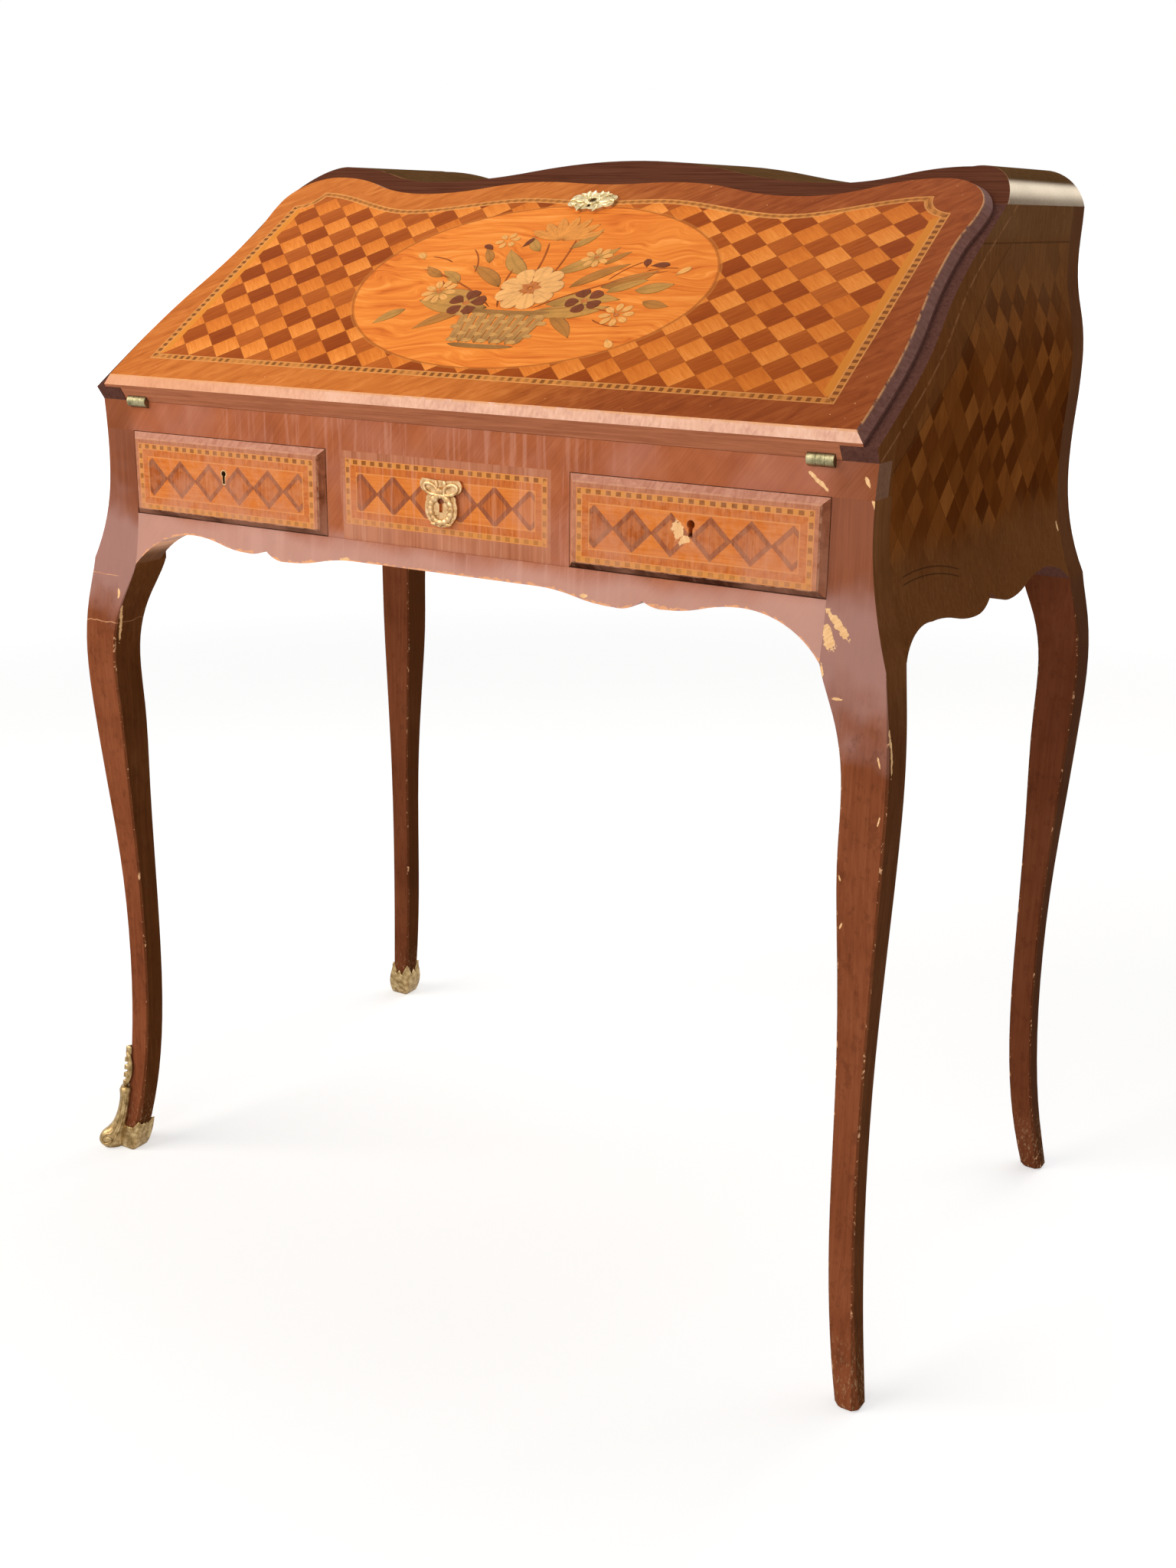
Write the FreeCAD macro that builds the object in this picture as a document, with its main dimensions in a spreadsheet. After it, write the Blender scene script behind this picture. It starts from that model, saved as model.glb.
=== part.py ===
import FreeCAD, Part
import math
import os
from collections import namedtuple
from types import SimpleNamespace

import Sketcher

# Slant-front writing desk on four cabriole legs. Millimetres, +Z up, X across the front,
# Y from front to back. The origin is on the floor under the middle of the case.

dimensions = {
    # case
    "case_depth": 424.0,
    "writing_height": 710.0,
    "case_rise": 164.0,
    "inner_half": 326.0,
    "stile_step": 6.5,
    "post_depth": 29.0,
    "cut_overrun": 20.0,
    # outline of the case seen from the front
    "skirt_swell": 42.5,
    "waist_swell": 24.0,
    "bulge_swell": 27.6,
    "neck_swell": 16.4,
    "shoulder_swell": 17.5,
    "waist_drop": 42.0,
    "bulge_lift": 42.0,
    "neck_lift": 126.0,
    # waved top board
    "hump_height": 33.0,
    "dip_height": 15.0,
    "crest_height": 27.7,
    "crest_inset": 44.5,
    # rails and flat boards
    "rail_height": 24.5,
    "rail_thickness": 22.0,
    "opening_height": 69.5,
    "bed_thickness": 14.0,
    "deck_thickness": 12.0,
    "back_thickness": 12.0,
    "muntin_width": 16.0,
    "panel_thickness": 14.0,
    "centre_half": 97.0,
    # skirt below the drawers
    "skirt_drop": 43.0,
    "flare_depth": 7.5,
    "flare_lift": 24.0,
    "apron_flat_drop": 16.7,
    "apron_low_drop": 24.5,
    "apron_cusp_drop": 17.3,
    "apron_ear_drop": 21.4,
    "apron_arch_drop": 13.0,
    "side_arch_offset": 122.0,
    "side_arch_drop": 26.0,
    "side_low_offset": 38.0,
    "side_low_drop": 36.0,
    # cabriole legs, measured on their outer faces
    "knee_swell": 9.5,
    "knee_reach": 16.0,
    "knee_width": 35.5,
    "knee_depth": 33.0,
    "ankle_inset": 1.0,
    "ankle_reach": 0.6,
    "ankle_width": 21.0,
    "ankle_depth": 21.5,
    "foot_swell": 17.0,
    "foot_reach": 15.0,
    "foot_width": 20.0,
    "foot_depth": 20.0,
    "leg_arris": 1.6,
    "foot_wear": 2.4,
    # fall front
    "slope_angle": 32.5,
    "fall_thickness": 12.2,
    "fall_clearance": 0.5,
    "lip_gap": 0.3,
    "lip_thickness": 9.0,
    "lip_bevel": 6.2,
    "lip_reveal": 9.4,
    "lip_taper": 1.6,
    "lip_overlap": 9.0,
    "lip_shoulder_drop": 11.0,
    "lip_shoulder_reveal": 6.5,
    "lip_crest_rise": 35.0,
    "lip_dip_rise": 9.0,
    "lip_hump_rise": 28.5,
    "lip_middle_rise": 25.0,
    "leather_side": 58.0,
    "leather_margin": 38.0,
    "leather_thickness": 1.6,
    "top_rail_depth": 20.0,
    "top_rail_tuck": 4.0,
    # hinges of the fall
    "hinge_inset": 15.0,
    "hinge_length": 20.0,
    "hinge_leaf_depth": 18.0,
    "hinge_leaf_thickness": 2.0,
    "barrel_radius": 4.8,
    "pin_radius": 2.2,
    "pin_fit": 0.05,
    "hinge_gap": 0.3,
    # locks and keyholes
    "lock_half": 26.0,
    "lock_height": 42.0,
    "lock_thickness": 8.0,
    "lock_margin": 1.6,
    "bolt_half": 8.0,
    "bolt_height": 20.0,
    "bolt_thickness": 4.0,
    "bolt_travel": 4.8,
    "bolt_gap": 0.3,
    "keyhole_radius": 3.2,
    "keyhole_slot": 9.0,
    "keyhole_drop": 27.0,
    "liner_wall": 0.9,
    # drawers in the front
    "drawer_gap": 0.6,
    "drawer_proud": 5.5,
    "drawer_front_thickness": 19.5,
    "drawer_bevel": 5.4,
    "drawer_room": 68.0,
    "drawer_side_thickness": 9.0,
    "drawer_side_height": 58.0,
    "drawer_bottom_thickness": 6.0,
    "drawer_bottom_lift": 3.0,
    "guide_height": 36.0,
    # well under the writing bed
    "well_wall": 12.0,
    "runner_width": 12.4,
    "cover_side_gap": 2.4,
    "cover_lap": 6.0,
    "cover_thickness": 7.0,
    "cover_gap": 0.4,
    "cover_notch": 3.0,
    "runner_height": 12.0,
    # nest of pigeonholes
    "nest_shelf": 8.0,
    "nest_opening": 47.0,
    "nest_divider": 8.0,
    "nest_centre_half": 106.0,
    "nest_setback": 62.0,
    "nest_gap": 0.5,
    "nest_front": 9.0,
    "nest_wall": 6.0,
    "nest_floor": 4.0,
    "knob_radius": 6.5,
    "knob_neck_radius": 3.0,
    "knob_length": 13.0,
    # gilt mounts
    "escutcheon_half": 23.0,
    "escutcheon_height": 26.0,
    "escutcheon_thickness": 2.5,
    "escutcheon_margin": 9.5,
    "bow_half": 17.0,
    "bow_height": 15.0,
    "wreath_half": 13.5,
    "wreath_height": 28.0,
    "wreath_drop": 11.5,
    "wreath_thickness": 3.0,
    "shoe_wall": 1.8,
    "shoe_height": 30.0,
    "toe_radius": 6.6,
    "toe_lift": 0.6,
    "toe_half": 6.0,
    "toe_reach": 3.0,
    "cup_wall": 2.2,
    "cup_height": 34.0,
}

doc = FreeCAD.newDocument("escritoire")
sheet = doc.addObject("Spreadsheet::Sheet", "sizes")


class Size:
    # A length with its value and the text that ties it to the sheet.
    def __init__(self, value, text):
        self.value = value
        self.text = text

    def __add__(self, other):
        other = as_size(other)
        return Size(self.value + other.value, f"({self.text} + {other.text})")

    def __sub__(self, other):
        other = as_size(other)
        return Size(self.value - other.value, f"({self.text} - {other.text})")

    def __mul__(self, other):
        other = as_size(other)
        return Size(self.value * other.value, f"({self.text} * {other.text})")

    def __truediv__(self, other):
        other = as_size(other)
        return Size(self.value / other.value, f"({self.text} / {other.text})")

    def __neg__(self):
        return Size(-self.value, f"(0 - {self.text})")

    __radd__ = __add__
    __rmul__ = __mul__


def as_size(number):
    return number if isinstance(number, Size) else Size(float(number), f"({float(number)})")


def sine(angle):
    return Size(math.sin(math.radians(angle.value)), f"sin({angle.text} * 1 deg)")


def cosine(angle):
    return Size(math.cos(math.radians(angle.value)), f"cos({angle.text} * 1 deg)")


def root(area):
    return Size(math.sqrt(area.value), f"sqrt({area.text})")


def write_sheet():
    for row, (name, value) in enumerate(dimensions.items(), start=1):
        sheet.set(f"A{row}", name)
        sheet.set(f"B{row}", str(value))
        sheet.setAlias(f"B{row}", name)
    doc.recompute()
    return SimpleNamespace(**{name: Size(value, f"sizes.{name}") for name, value in dimensions.items()})


size = write_sheet()
zero = as_size(0)

# Levels and planes that several pieces share.
front = -size.case_depth / 2
back = size.case_depth / 2
bed_top = size.writing_height
bed_under = bed_top - size.bed_thickness
top_under = bed_top + size.case_rise
rail_under = bed_top - size.rail_height
deck_top = rail_under - size.opening_height
deck_under = deck_top - size.deck_thickness
skirt_level = deck_top - size.skirt_drop
waist_level = bed_top - size.waist_drop
bulge_level = bed_top + size.bulge_lift
neck_level = bed_top + size.neck_lift
back_face = back - size.back_thickness
stile_half = size.inner_half - size.stile_step
skirt_half = size.inner_half + size.skirt_swell
waist_half = size.inner_half + size.waist_swell
bulge_half = size.inner_half + size.bulge_swell
neck_half = size.inner_half + size.neck_swell
shoulder_half = size.inner_half + size.shoulder_swell
foot_half = skirt_half + size.foot_swell
far_half = skirt_half + size.cut_overrun
slope_sin = sine(size.slope_angle)
slope_cos = cosine(size.slope_angle)
lip_under = size.fall_thickness + size.lip_gap
lip_top = lip_under + size.lip_thickness

Bend = namedtuple("Bend", "x y")
round_share = 1 - math.sqrt(0.5)
pieces = {}


def keep(label, piece):
    piece.Label = label
    pieces[label] = piece
    return piece


def bind(piece, name, length):
    piece.setExpression(name, as_size(length).text)


def place(piece, x, y, z):
    for axis, value in (("x", x), ("y", y), ("z", z)):
        bind(piece, f"Placement.Base.{axis}", value)


def mix(start, end, share):
    return start + (end - start) * share


def ease(start, end, run):
    # Middle of an arc that leaves its start level; run is the axis that it starts along.
    flatness = (end[run] - start[run]) / (end[1 - run] - start[1 - run])
    flatness = flatness * flatness
    half = (flatness + 1) / 2
    share = half - root(half * half - flatness / 4)
    across = mix(start[1 - run], end[1 - run], share)
    along = mix(start[run], end[run], 0.5)
    return Bend(across, along) if run else Bend(along, across)


def sway(start, end, run):
    # S-curve of two equal arcs between two level turning points.
    middle = tuple(mix(a, b, 0.5) for a, b in zip(start, end))
    return [ease(start, middle, run), middle, ease(end, middle, run), end]


def between(start, end, shares):
    return Bend(*(mix(a, b, share) for a, b, share in zip(start, end, shares)))


def mirrored(half):
    # An outline that ends on the mirror line, followed by its mirror image.
    other = []
    for point in reversed(half[:-1]):
        other.append(Bend(-point.x, point.y) if isinstance(point, Bend) else (-point[0], point[1]))
    return half + other


def block(label, low, high):
    piece = doc.addObject("Part::Box", label)
    for name, start, end in zip(("Length", "Width", "Height"), low, high):
        bind(piece, name, end - start)
    place(piece, *low)
    return piece


def span(side, near, far):
    # The lower and higher X of a stretch given for the right-hand side.
    return (near, far) if side > 0 else (-far, -near)


def rod(label, start, turn, radius, length):
    piece = doc.addObject("Part::Cylinder", label)
    piece.Placement = FreeCAD.Placement(FreeCAD.Vector(), turn)
    bind(piece, "Radius", radius)
    bind(piece, "Height", length)
    place(piece, *start)
    return piece


along_x = FreeCAD.Rotation(FreeCAD.Vector(0, 1, 0), 90)
along_y = FreeCAD.Rotation(FreeCAD.Vector(1, 0, 0), -90)


def on_slope(reach, height):
    # Y and Z of a point given along the slope and square to it, from the fall's hinge axis.
    y = front + reach * slope_cos - height * slope_sin
    z = bed_top + reach * slope_sin + height * slope_cos
    return y, z


def tilt(piece, x, reach, height):
    turn = FreeCAD.Rotation(FreeCAD.Vector(1, 0, 0), size.slope_angle.value)
    piece.Placement = FreeCAD.Placement(FreeCAD.Vector(), turn)
    bind(piece, "Placement.Rotation.Angle", size.slope_angle * as_size(1))
    place(piece, x, *on_slope(reach, height))
    return piece


def tilted_block(label, low, high):
    piece = block(label, low, high)
    return tilt(piece, *low)


def carve(label, base, *tools):
    for tool in tools:
        cut = doc.addObject("Part::Cut", f"{label}_cut")
        cut.Base = base
        cut.Tool = tool
        base = cut
    return base


def join(label, *solids):
    fused = doc.addObject("Part::MultiFuse", f"{label}_join")
    fused.Shapes = list(solids)
    return fused


def group(label, *solids):
    together = doc.addObject("Part::Compound", f"{label}_group")
    together.Links = list(solids)
    return together


def new_body(label):
    return doc.addObject("PartDesign::Body", label)


def vector(point):
    return FreeCAD.Vector(point[0].value, point[1].value, 0)


def turns_left(start, middle, end):
    return (middle - start).cross(end - middle).z > 0


def draw(sketch, outline):
    # Closed outline of lines and arcs, every point held by the sheet; arcs run counter-clockwise.
    outline = [type(p)(*map(as_size, p)) if isinstance(p, Bend) else tuple(map(as_size, p)) for p in outline]
    edges = []
    for index, point in enumerate(outline):
        if isinstance(point, Bend):
            continue
        following = outline[(index + 1) % len(outline)]
        middle = following if isinstance(following, Bend) else None
        end = outline[(index + 2) % len(outline)] if middle else following
        ends = (1, 2)
        if middle is None:
            curve = Part.LineSegment(vector(point), vector(end))
        elif turns_left(vector(point), vector(middle), vector(end)):
            curve = Part.Arc(vector(point), vector(middle), vector(end))
        else:
            curve = Part.Arc(vector(end), vector(middle), vector(point))
            ends = (2, 1)
        edges.append((sketch.addGeometry(curve, False), *ends, point, middle))
    for (edge, start, end, point, middle), after in zip(edges, edges[1:] + edges[:1]):
        sketch.addConstraint(Sketcher.Constraint("Coincident", edge, end, after[0], after[1]))
        pin(sketch, edge, start, point)
        if middle:
            mark = sketch.addGeometry(Part.Point(vector(middle)), True)
            sketch.addConstraint(Sketcher.Constraint("PointOnObject", mark, 1, edge))
            pin(sketch, mark, 1, middle)


def pin(sketch, edge, end, point):
    for kind, length in zip(("DistanceX", "DistanceY"), point):
        index = sketch.addConstraint(Sketcher.Constraint(kind, -1, 1, edge, end, length.value))
        bind(sketch, f"Constraints[{index}]", length)


def sketch_on(body, role, outline, offset=zero):
    plane = [feature for feature in body.Origin.OriginFeatures if feature.Role == role][0]
    sketch = body.newObject("Sketcher::SketchObject", f"{body.Name}_outline")
    sketch.AttachmentSupport = (plane, "")
    sketch.MapMode = "FlatFace"
    bind(sketch, "AttachmentOffset.Base.z", offset)
    draw(sketch, outline)
    return sketch


def pad(body, sketch, length, turned=False, both_ways=False):
    feature = body.newObject("PartDesign::Pad", f"{body.Name}_pad")
    feature.Profile = sketch
    bind(feature, "Length", length)
    feature.Reversed = turned
    if both_ways:
        feature.SideType = "Symmetric"
    doc.recompute()
    return feature


def pocket(body, sketch, length=None, turned=False):
    before = body.Shape.Volume
    feature = body.newObject("PartDesign::Pocket", f"{body.Name}_pocket")
    feature.Profile = sketch
    if length is None:
        feature.Type = "ThroughAll"
        feature.SideType = "Symmetric"
    else:
        bind(feature, "Length", length)
        feature.Reversed = turned
    doc.recompute()
    if not body.Shape.Volume < before:
        raise RuntimeError(f"{body.Label}: a pocket removes nothing")
    return feature


def bevel(body, kind, amount, is_edge):
    base = body.Tip
    names = [f"Edge{i}" for i, edge in enumerate(base.Shape.Edges, start=1) if is_edge(edge)]
    feature = body.newObject(f"PartDesign::{kind}", f"{body.Name}_edge")
    feature.Base = (base, names)
    bind(feature, "Size" if kind == "Chamfer" else "Radius", amount)
    doc.recompute()
    return feature


def edge_at(axis, level):
    # Chooses the edges that lie wholly at one level along an axis of the body.
    def test(edge):
        box = edge.BoundBox
        low, high = getattr(box, f"{axis}Min"), getattr(box, f"{axis}Max")
        slack = size.lip_gap.value / 2
        return abs(low - level.value) < slack and abs(high - level.value) < slack

    return test


def slope_y(level):
    # Y of the sloped front edges of the case at a level.
    return front + ((level - bed_top) * slope_cos - size.fall_thickness) / slope_sin


def flank(side):
    # Outer edge of the case seen from the front, from the skirt up to the top board.
    def point(half, level):
        return (half * side, level)

    skirt = point(skirt_half, skirt_level)
    waist = point(waist_half, waist_level)
    bulge = point(bulge_half, bulge_level)
    neck = point(neck_half, neck_level)
    shoulder = point(shoulder_half, top_under)
    curve = [skirt, ease(waist, skirt, 1), waist]
    return curve + sway(waist, bulge, 1) + sway(bulge, neck, 1) + sway(neck, shoulder, 1)


def outside_flank(side):
    # The waste outside the flank, cut away from every piece that reaches it.
    waste_half = far_half + size.cut_overrun
    above = top_under + size.cut_overrun
    below = skirt_level - size.cut_overrun
    return flank(side) + [
        (shoulder_half * side, above),
        (waste_half * side, above),
        (waste_half * side, below),
        (skirt_half * side, below),
    ]


def past_flare(rear):
    # The waste past the skirt, which sweeps outwards towards the knees at the front and the back.
    out = 1 if rear else -1
    plane = back if rear else front
    edge = plane + size.flare_depth * out
    waste = edge + size.cut_overrun * out
    above = top_under + size.cut_overrun
    below = skirt_level - size.cut_overrun
    foot, head = (edge, skirt_level), (plane, deck_top + size.flare_lift)
    return [(edge, below), foot, ease(head, foot, 1), head, (plane, above), (waste, above), (waste, below)]


side_spandrel_shares = (0.28, 0.62)
side_cusp_shares = (0.5, 0.22)


def side_apron():
    # Lower edge of a side board from the front post to the rear one.
    start = (front + size.post_depth, skirt_level)
    arch = (-size.side_arch_offset, deck_top - size.side_arch_drop)
    low = (-size.side_low_offset, deck_top - size.side_low_drop)
    cusp = (zero, arch[1])
    spandrel = between(start, arch, side_spandrel_shares)
    hollow = between(low, cusp, side_cusp_shares)
    return mirrored([start, spandrel, arch] + sway(arch, low, 0) + [hollow, cusp])


def make_side(name, side):
    body = new_body(f"{name}_side")
    nose = on_slope(zero, size.fall_thickness)
    outline = side_apron() + [
        (back - size.post_depth, top_under),
        (slope_y(top_under), top_under),
        nose,
        (front, bed_top),
        (front + size.rail_thickness, bed_top),
        (front + size.rail_thickness, rail_under),
        (front + size.post_depth, rail_under),
    ]
    sketch = sketch_on(body, "YZ_Plane", outline, size.inner_half * side)
    pad(body, sketch, far_half - size.inner_half, turned=side < 0)
    pocket(body, sketch_on(body, "XZ_Plane", outside_flank(side)))
    keep(f"{name}_side", body)


# Each row gives a height along the leg, how much of the four drawn sections is in it
# (skirt, knee, ankle and foot) and how much of the full wear its arrises have.
leg_shares = (
    (1.0, (1, 0, 0, 0), 0.2),
    (0.94, (0.38, 0.62, 0, 0), 0.6),
    (0.88, (0, 1, 0, 0), 1),
    (0.77, (0, 0.9, 0.1, 0), 1),
    (0.645, (0, 0.54, 0.46, 0), 1),
    (0.505, (0, 0.14, 0.86, 0), 1),
    (0.35, (0, 0, 1, 0), 1),
    (0.21, (0, 0, 0.86, 0.14), 1),
    (0.105, (0, 0, 0.55, 0.45), 1.4),
    (0, (0, 0, 0, 1), 3),
)


def leg_measures(inner):
    # Outer half-width, reach of the face past the case, width and depth of the drawn sections.
    halves = [skirt_half, skirt_half + size.knee_swell, skirt_half - size.ankle_inset, foot_half]
    reaches = [size.flare_depth, size.knee_reach, size.ankle_reach, size.foot_reach]
    widths = [skirt_half - inner, size.knee_width, size.ankle_width, size.foot_width]
    depths = [size.post_depth + size.flare_depth, size.knee_depth, size.ankle_depth, size.foot_depth]
    return halves, reaches, widths, depths


def blend(values, shares):
    total = zero
    for value, share in zip(values, shares):
        if share:
            total = total + value * share
    return total


def leg_section(side, rear, shares, wear, skin=zero):
    # Rectangle across the leg with its arrises taken off; skin swells it evenly.
    inner = size.inner_half if rear else stile_half
    half, reach, width, depth = (blend(values, shares) for values in leg_measures(inner))
    low_x, high_x = span(side, half - width - skin, half + skin)
    face = (back + reach + skin) if rear else (front - reach - skin)
    hidden = (face - depth - skin * 2) if rear else (face + depth + skin * 2)
    low_y, high_y = (hidden, face) if rear else (face, hidden)
    bite = size.leg_arris * wear
    return [
        (low_x + bite, low_y),
        (high_x - bite, low_y),
        (high_x, low_y + bite),
        (high_x, high_y - bite),
        (high_x - bite, high_y),
        (low_x + bite, high_y),
        (low_x, high_y - bite),
        (low_x, low_y + bite),
    ]


def loft(body, sections):
    feature = body.newObject("PartDesign::AdditiveLoft", f"{body.Name}_loft")
    feature.Profile = sections[0]
    feature.Sections = sections[1:]
    doc.recompute()
    return feature


def make_leg(name, side, rear):
    body = new_body(name)
    inner = size.inner_half if rear else stile_half
    high = top_under if rear else rail_under
    near = (back - size.post_depth) if rear else (front - size.flare_depth)
    low_x, high_x = span(side, inner, far_half)
    post = [(low_x, skirt_level), (high_x, skirt_level), (high_x, high), (low_x, high)]
    pad(body, sketch_on(body, "XZ_Plane", post, -near), size.post_depth + size.flare_depth, turned=True)
    pocket(body, sketch_on(body, "XZ_Plane", outside_flank(side)))
    pocket(body, sketch_on(body, "YZ_Plane", past_flare(rear)))
    sections = []
    for height, shares, wear in leg_shares:
        outline = leg_section(side, rear, shares, wear)
        sections.append(sketch_on(body, "XY_Plane", outline, skirt_level * height))
    loft(body, sections)
    bevel(body, "Chamfer", size.foot_wear, edge_at("Z", zero))
    return keep(name, body)


def make_top():
    body = new_body("top_board")
    corner = (shoulder_half, top_under)
    crest = (shoulder_half - size.crest_inset, top_under + size.crest_height)
    dip = (shoulder_half * top_dip_share, top_under + size.dip_height)
    hump = (zero, top_under + size.hump_height)
    shoulder = between(corner, crest, shoulder_shares)
    outline = mirrored([corner, shoulder, crest] + sway(crest, dip, 0) + sway(dip, hump, 0))
    edge = slope_y(top_under)
    pad(body, sketch_on(body, "XZ_Plane", outline, -edge), back - edge, turned=True)
    above = top_under + size.hump_height + size.cut_overrun
    waste = edge - size.cut_overrun
    slope = [(edge, top_under), (slope_y(above), above), (waste, above), (waste, top_under)]
    pocket(body, sketch_on(body, "YZ_Plane", slope))
    keep("top_board", body)


top_dip_share = 0.568
shoulder_shares = (0.27, 0.69)
apron_shares = (0.269, 0.482, 0.554, 0.613, 0.801, 1)
apron_cusp_shares = (0.62, 0.25)
apron_ear_shares = (0.4, 0.78)


def make_apron():
    body = new_body("front_apron")
    low, high = front - size.flare_depth, front + size.rail_thickness
    blank = [(low, skirt_level), (high, skirt_level), (high, deck_top), (low, deck_top)]
    pad(body, sketch_on(body, "YZ_Plane", blank), stile_half * 2, both_ways=True)
    pocket(body, sketch_on(body, "YZ_Plane", past_flare(False)))

    drops = (size.apron_flat_drop, size.apron_low_drop, size.apron_cusp_drop, size.apron_ear_drop)
    drops += (size.apron_arch_drop, size.skirt_drop)
    points = [(stile_half * share, deck_top - drop) for share, drop in zip(apron_shares, drops)]
    flat, dip, cusp, ear, arch, stile = points
    below = skirt_level - size.cut_overrun

    edge = [flat] + sway(flat, dip, 0) + [between(dip, cusp, apron_cusp_shares), cusp]
    edge += [between(cusp, ear, apron_ear_shares), ear] + sway(ear, arch, 0)
    edge += [ease(arch, stile, 0), stile, (stile_half, below)]
    waste = mirrored(list(reversed(edge)) + [(zero, flat[1])])
    pocket(body, sketch_on(body, "XZ_Plane", waste))
    keep("front_apron", body)


def make_front_rail(recesses):
    body = new_body("front_rail_blank")
    blank = [(-far_half, rail_under), (far_half, rail_under), (far_half, bed_top), (-far_half, bed_top)]
    pad(body, sketch_on(body, "XZ_Plane", blank, -front), size.rail_thickness, turned=True)
    for side in (-1, 1):
        pocket(body, sketch_on(body, "XZ_Plane", outside_flank(side)))
    keep("front_rail", carve("front_rail", body, *recesses))


drawer_outer = stile_half - size.drawer_gap
drawer_inner = size.centre_half + size.muntin_width + size.drawer_gap
drawer_middle = (drawer_outer + drawer_inner) / 2
drawer_floor = deck_top + size.drawer_gap
drawer_top = rail_under - size.drawer_gap
drawer_back = front + size.drawer_front_thickness - size.drawer_proud
lock_top = drawer_top - size.lock_margin
keyhole_level = drawer_top - size.keyhole_drop


def make_boards():
    muntin_outer = size.centre_half + size.muntin_width
    inside = front + size.rail_thickness
    for name, side in sides:
        low, high = span(side, size.centre_half, muntin_outer)
        muntin = block(f"{name}_muntin", (low, front, deck_top), (high, inside, rail_under))
        keep(f"{name}_muntin", muntin)
        low, high = span(side, stile_half, size.inner_half)
        guide_top = deck_under + size.guide_height
        start, end = front + size.post_depth, back - size.post_depth
        keep(f"{name}_drawer_guide", block(f"{name}_guide", (low, start, deck_under), (high, end, guide_top)))
    panel_back = front + size.panel_thickness
    panel_low, panel_high = (-size.centre_half, front, deck_top), (size.centre_half, panel_back, rail_under)
    keep("centre_panel", block("centre_panel", panel_low, panel_high))
    deck_low, deck_high = (-stile_half, inside, deck_under), (stile_half, back_face, deck_top)
    keep("drawer_deck", block("drawer_deck", deck_low, deck_high))
    back_low, back_high = (-size.inner_half, back_face, deck_under), (size.inner_half, back, top_under)
    keep("back_panel", block("back_panel", back_low, back_high))


well_start_share = 0.1462
well_mouth_share = 0.3255
well_share = 0.4717


def make_well():
    # Well between the drawers, with a mouth in the writing bed and a cover that slides back under the bed.
    inside = front + size.rail_thickness
    wall_outer = size.centre_half + size.muntin_width - size.drawer_gap
    wall_inner = wall_outer - size.well_wall
    mouth_half = wall_inner - size.runner_width
    cover_half = wall_inner - size.cover_side_gap
    mouth_length = size.case_depth * well_mouth_share
    cover_under = bed_under + size.bolt_gap
    mouth_start = front + size.case_depth * well_start_share
    mouth_end = mouth_start + mouth_length
    cover_start = mouth_start - size.cover_lap
    cover_end = mouth_end + size.cover_lap
    recess_end = cover_end + mouth_length + size.cover_gap
    recess_top = cover_under + size.cover_thickness + size.cover_gap
    above = bed_top + size.cut_overrun
    below = bed_under - size.cut_overrun
    bed = block("bed_blank", (-size.inner_half, inside, bed_under), (size.inner_half, back_face, bed_top))
    mouth_low = (-mouth_half, mouth_start, below)
    mouth = block("bed_mouth", mouth_low, (mouth_half, mouth_end, above))
    recess_half = cover_half + size.cover_gap
    recess_low = (-recess_half, cover_start - size.cover_gap, below)
    recess = block("bed_recess", recess_low, (recess_half, recess_end, recess_top))
    keep("writing_bed", carve("writing_bed", bed, mouth, recess))
    cover_low = (-cover_half, cover_start, cover_under)
    cover_high = (cover_half, cover_end, cover_under + size.cover_thickness)
    cover = block("cover_blank", cover_low, cover_high)
    notch_start = mouth_start + size.cover_lap * 2
    notch_half = mouth_half / 4
    notch_under = cover_high[2] - size.cover_notch
    notch_low = (-notch_half, notch_start, notch_under)
    notch = block("cover_notch", notch_low, (notch_half, notch_start + size.cover_lap * 2, above))
    keep("well_cover", carve("well_cover", cover, notch))
    runners = []
    for name, side in sides:
        low, high = span(side, wall_inner, wall_outer)
        wall = block(f"{name}_wall", (low, inside, deck_top), (high, back_face, bed_under))
        keep(f"well_{name}_wall", wall)
        low, high = span(side, mouth_half, wall_inner)
        runner_low = (low, inside, bed_under - size.runner_height)
        runners.append(block(f"{name}_runner", runner_low, (high, recess_end, bed_under)))
    keep("well_runners", group("well_runners", *runners))
    wall_start = inside + size.case_depth * well_share
    end_low = (-wall_inner, wall_start, deck_top)
    end_high = (wall_inner, wall_start + size.well_wall, bed_under - size.runner_height)
    keep("well_back_wall", block("well_back_wall", end_low, end_high))


nest_share = 0.4434


def make_nest():
    shelf_under = bed_top + size.nest_opening
    shelf_top = shelf_under + size.nest_shelf
    nest_front = back_face - size.case_depth * nest_share
    shelf_low = (-size.inner_half, nest_front, shelf_under)
    keep("nest_shelf", block("nest_shelf", shelf_low, (size.inner_half, back_face, shelf_top)))
    lower, upper = [], []
    for name, side in sides:
        low, high = span(side, size.nest_centre_half, size.nest_centre_half + size.nest_divider)
        lower_low, lower_high = (low, nest_front, bed_top), (high, back_face, shelf_under)
        lower.append(block(f"{name}_lower", lower_low, lower_high))
        upper_low = (low, nest_front + size.nest_setback, shelf_top)
        upper.append(block(f"{name}_upper", upper_low, (high, back_face, top_under)))
        make_nest_drawer(name, side, nest_front, shelf_under)
    keep("nest_lower_dividers", group("nest_lower", *lower))
    keep("nest_upper_dividers", group("nest_upper", *upper))


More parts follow.
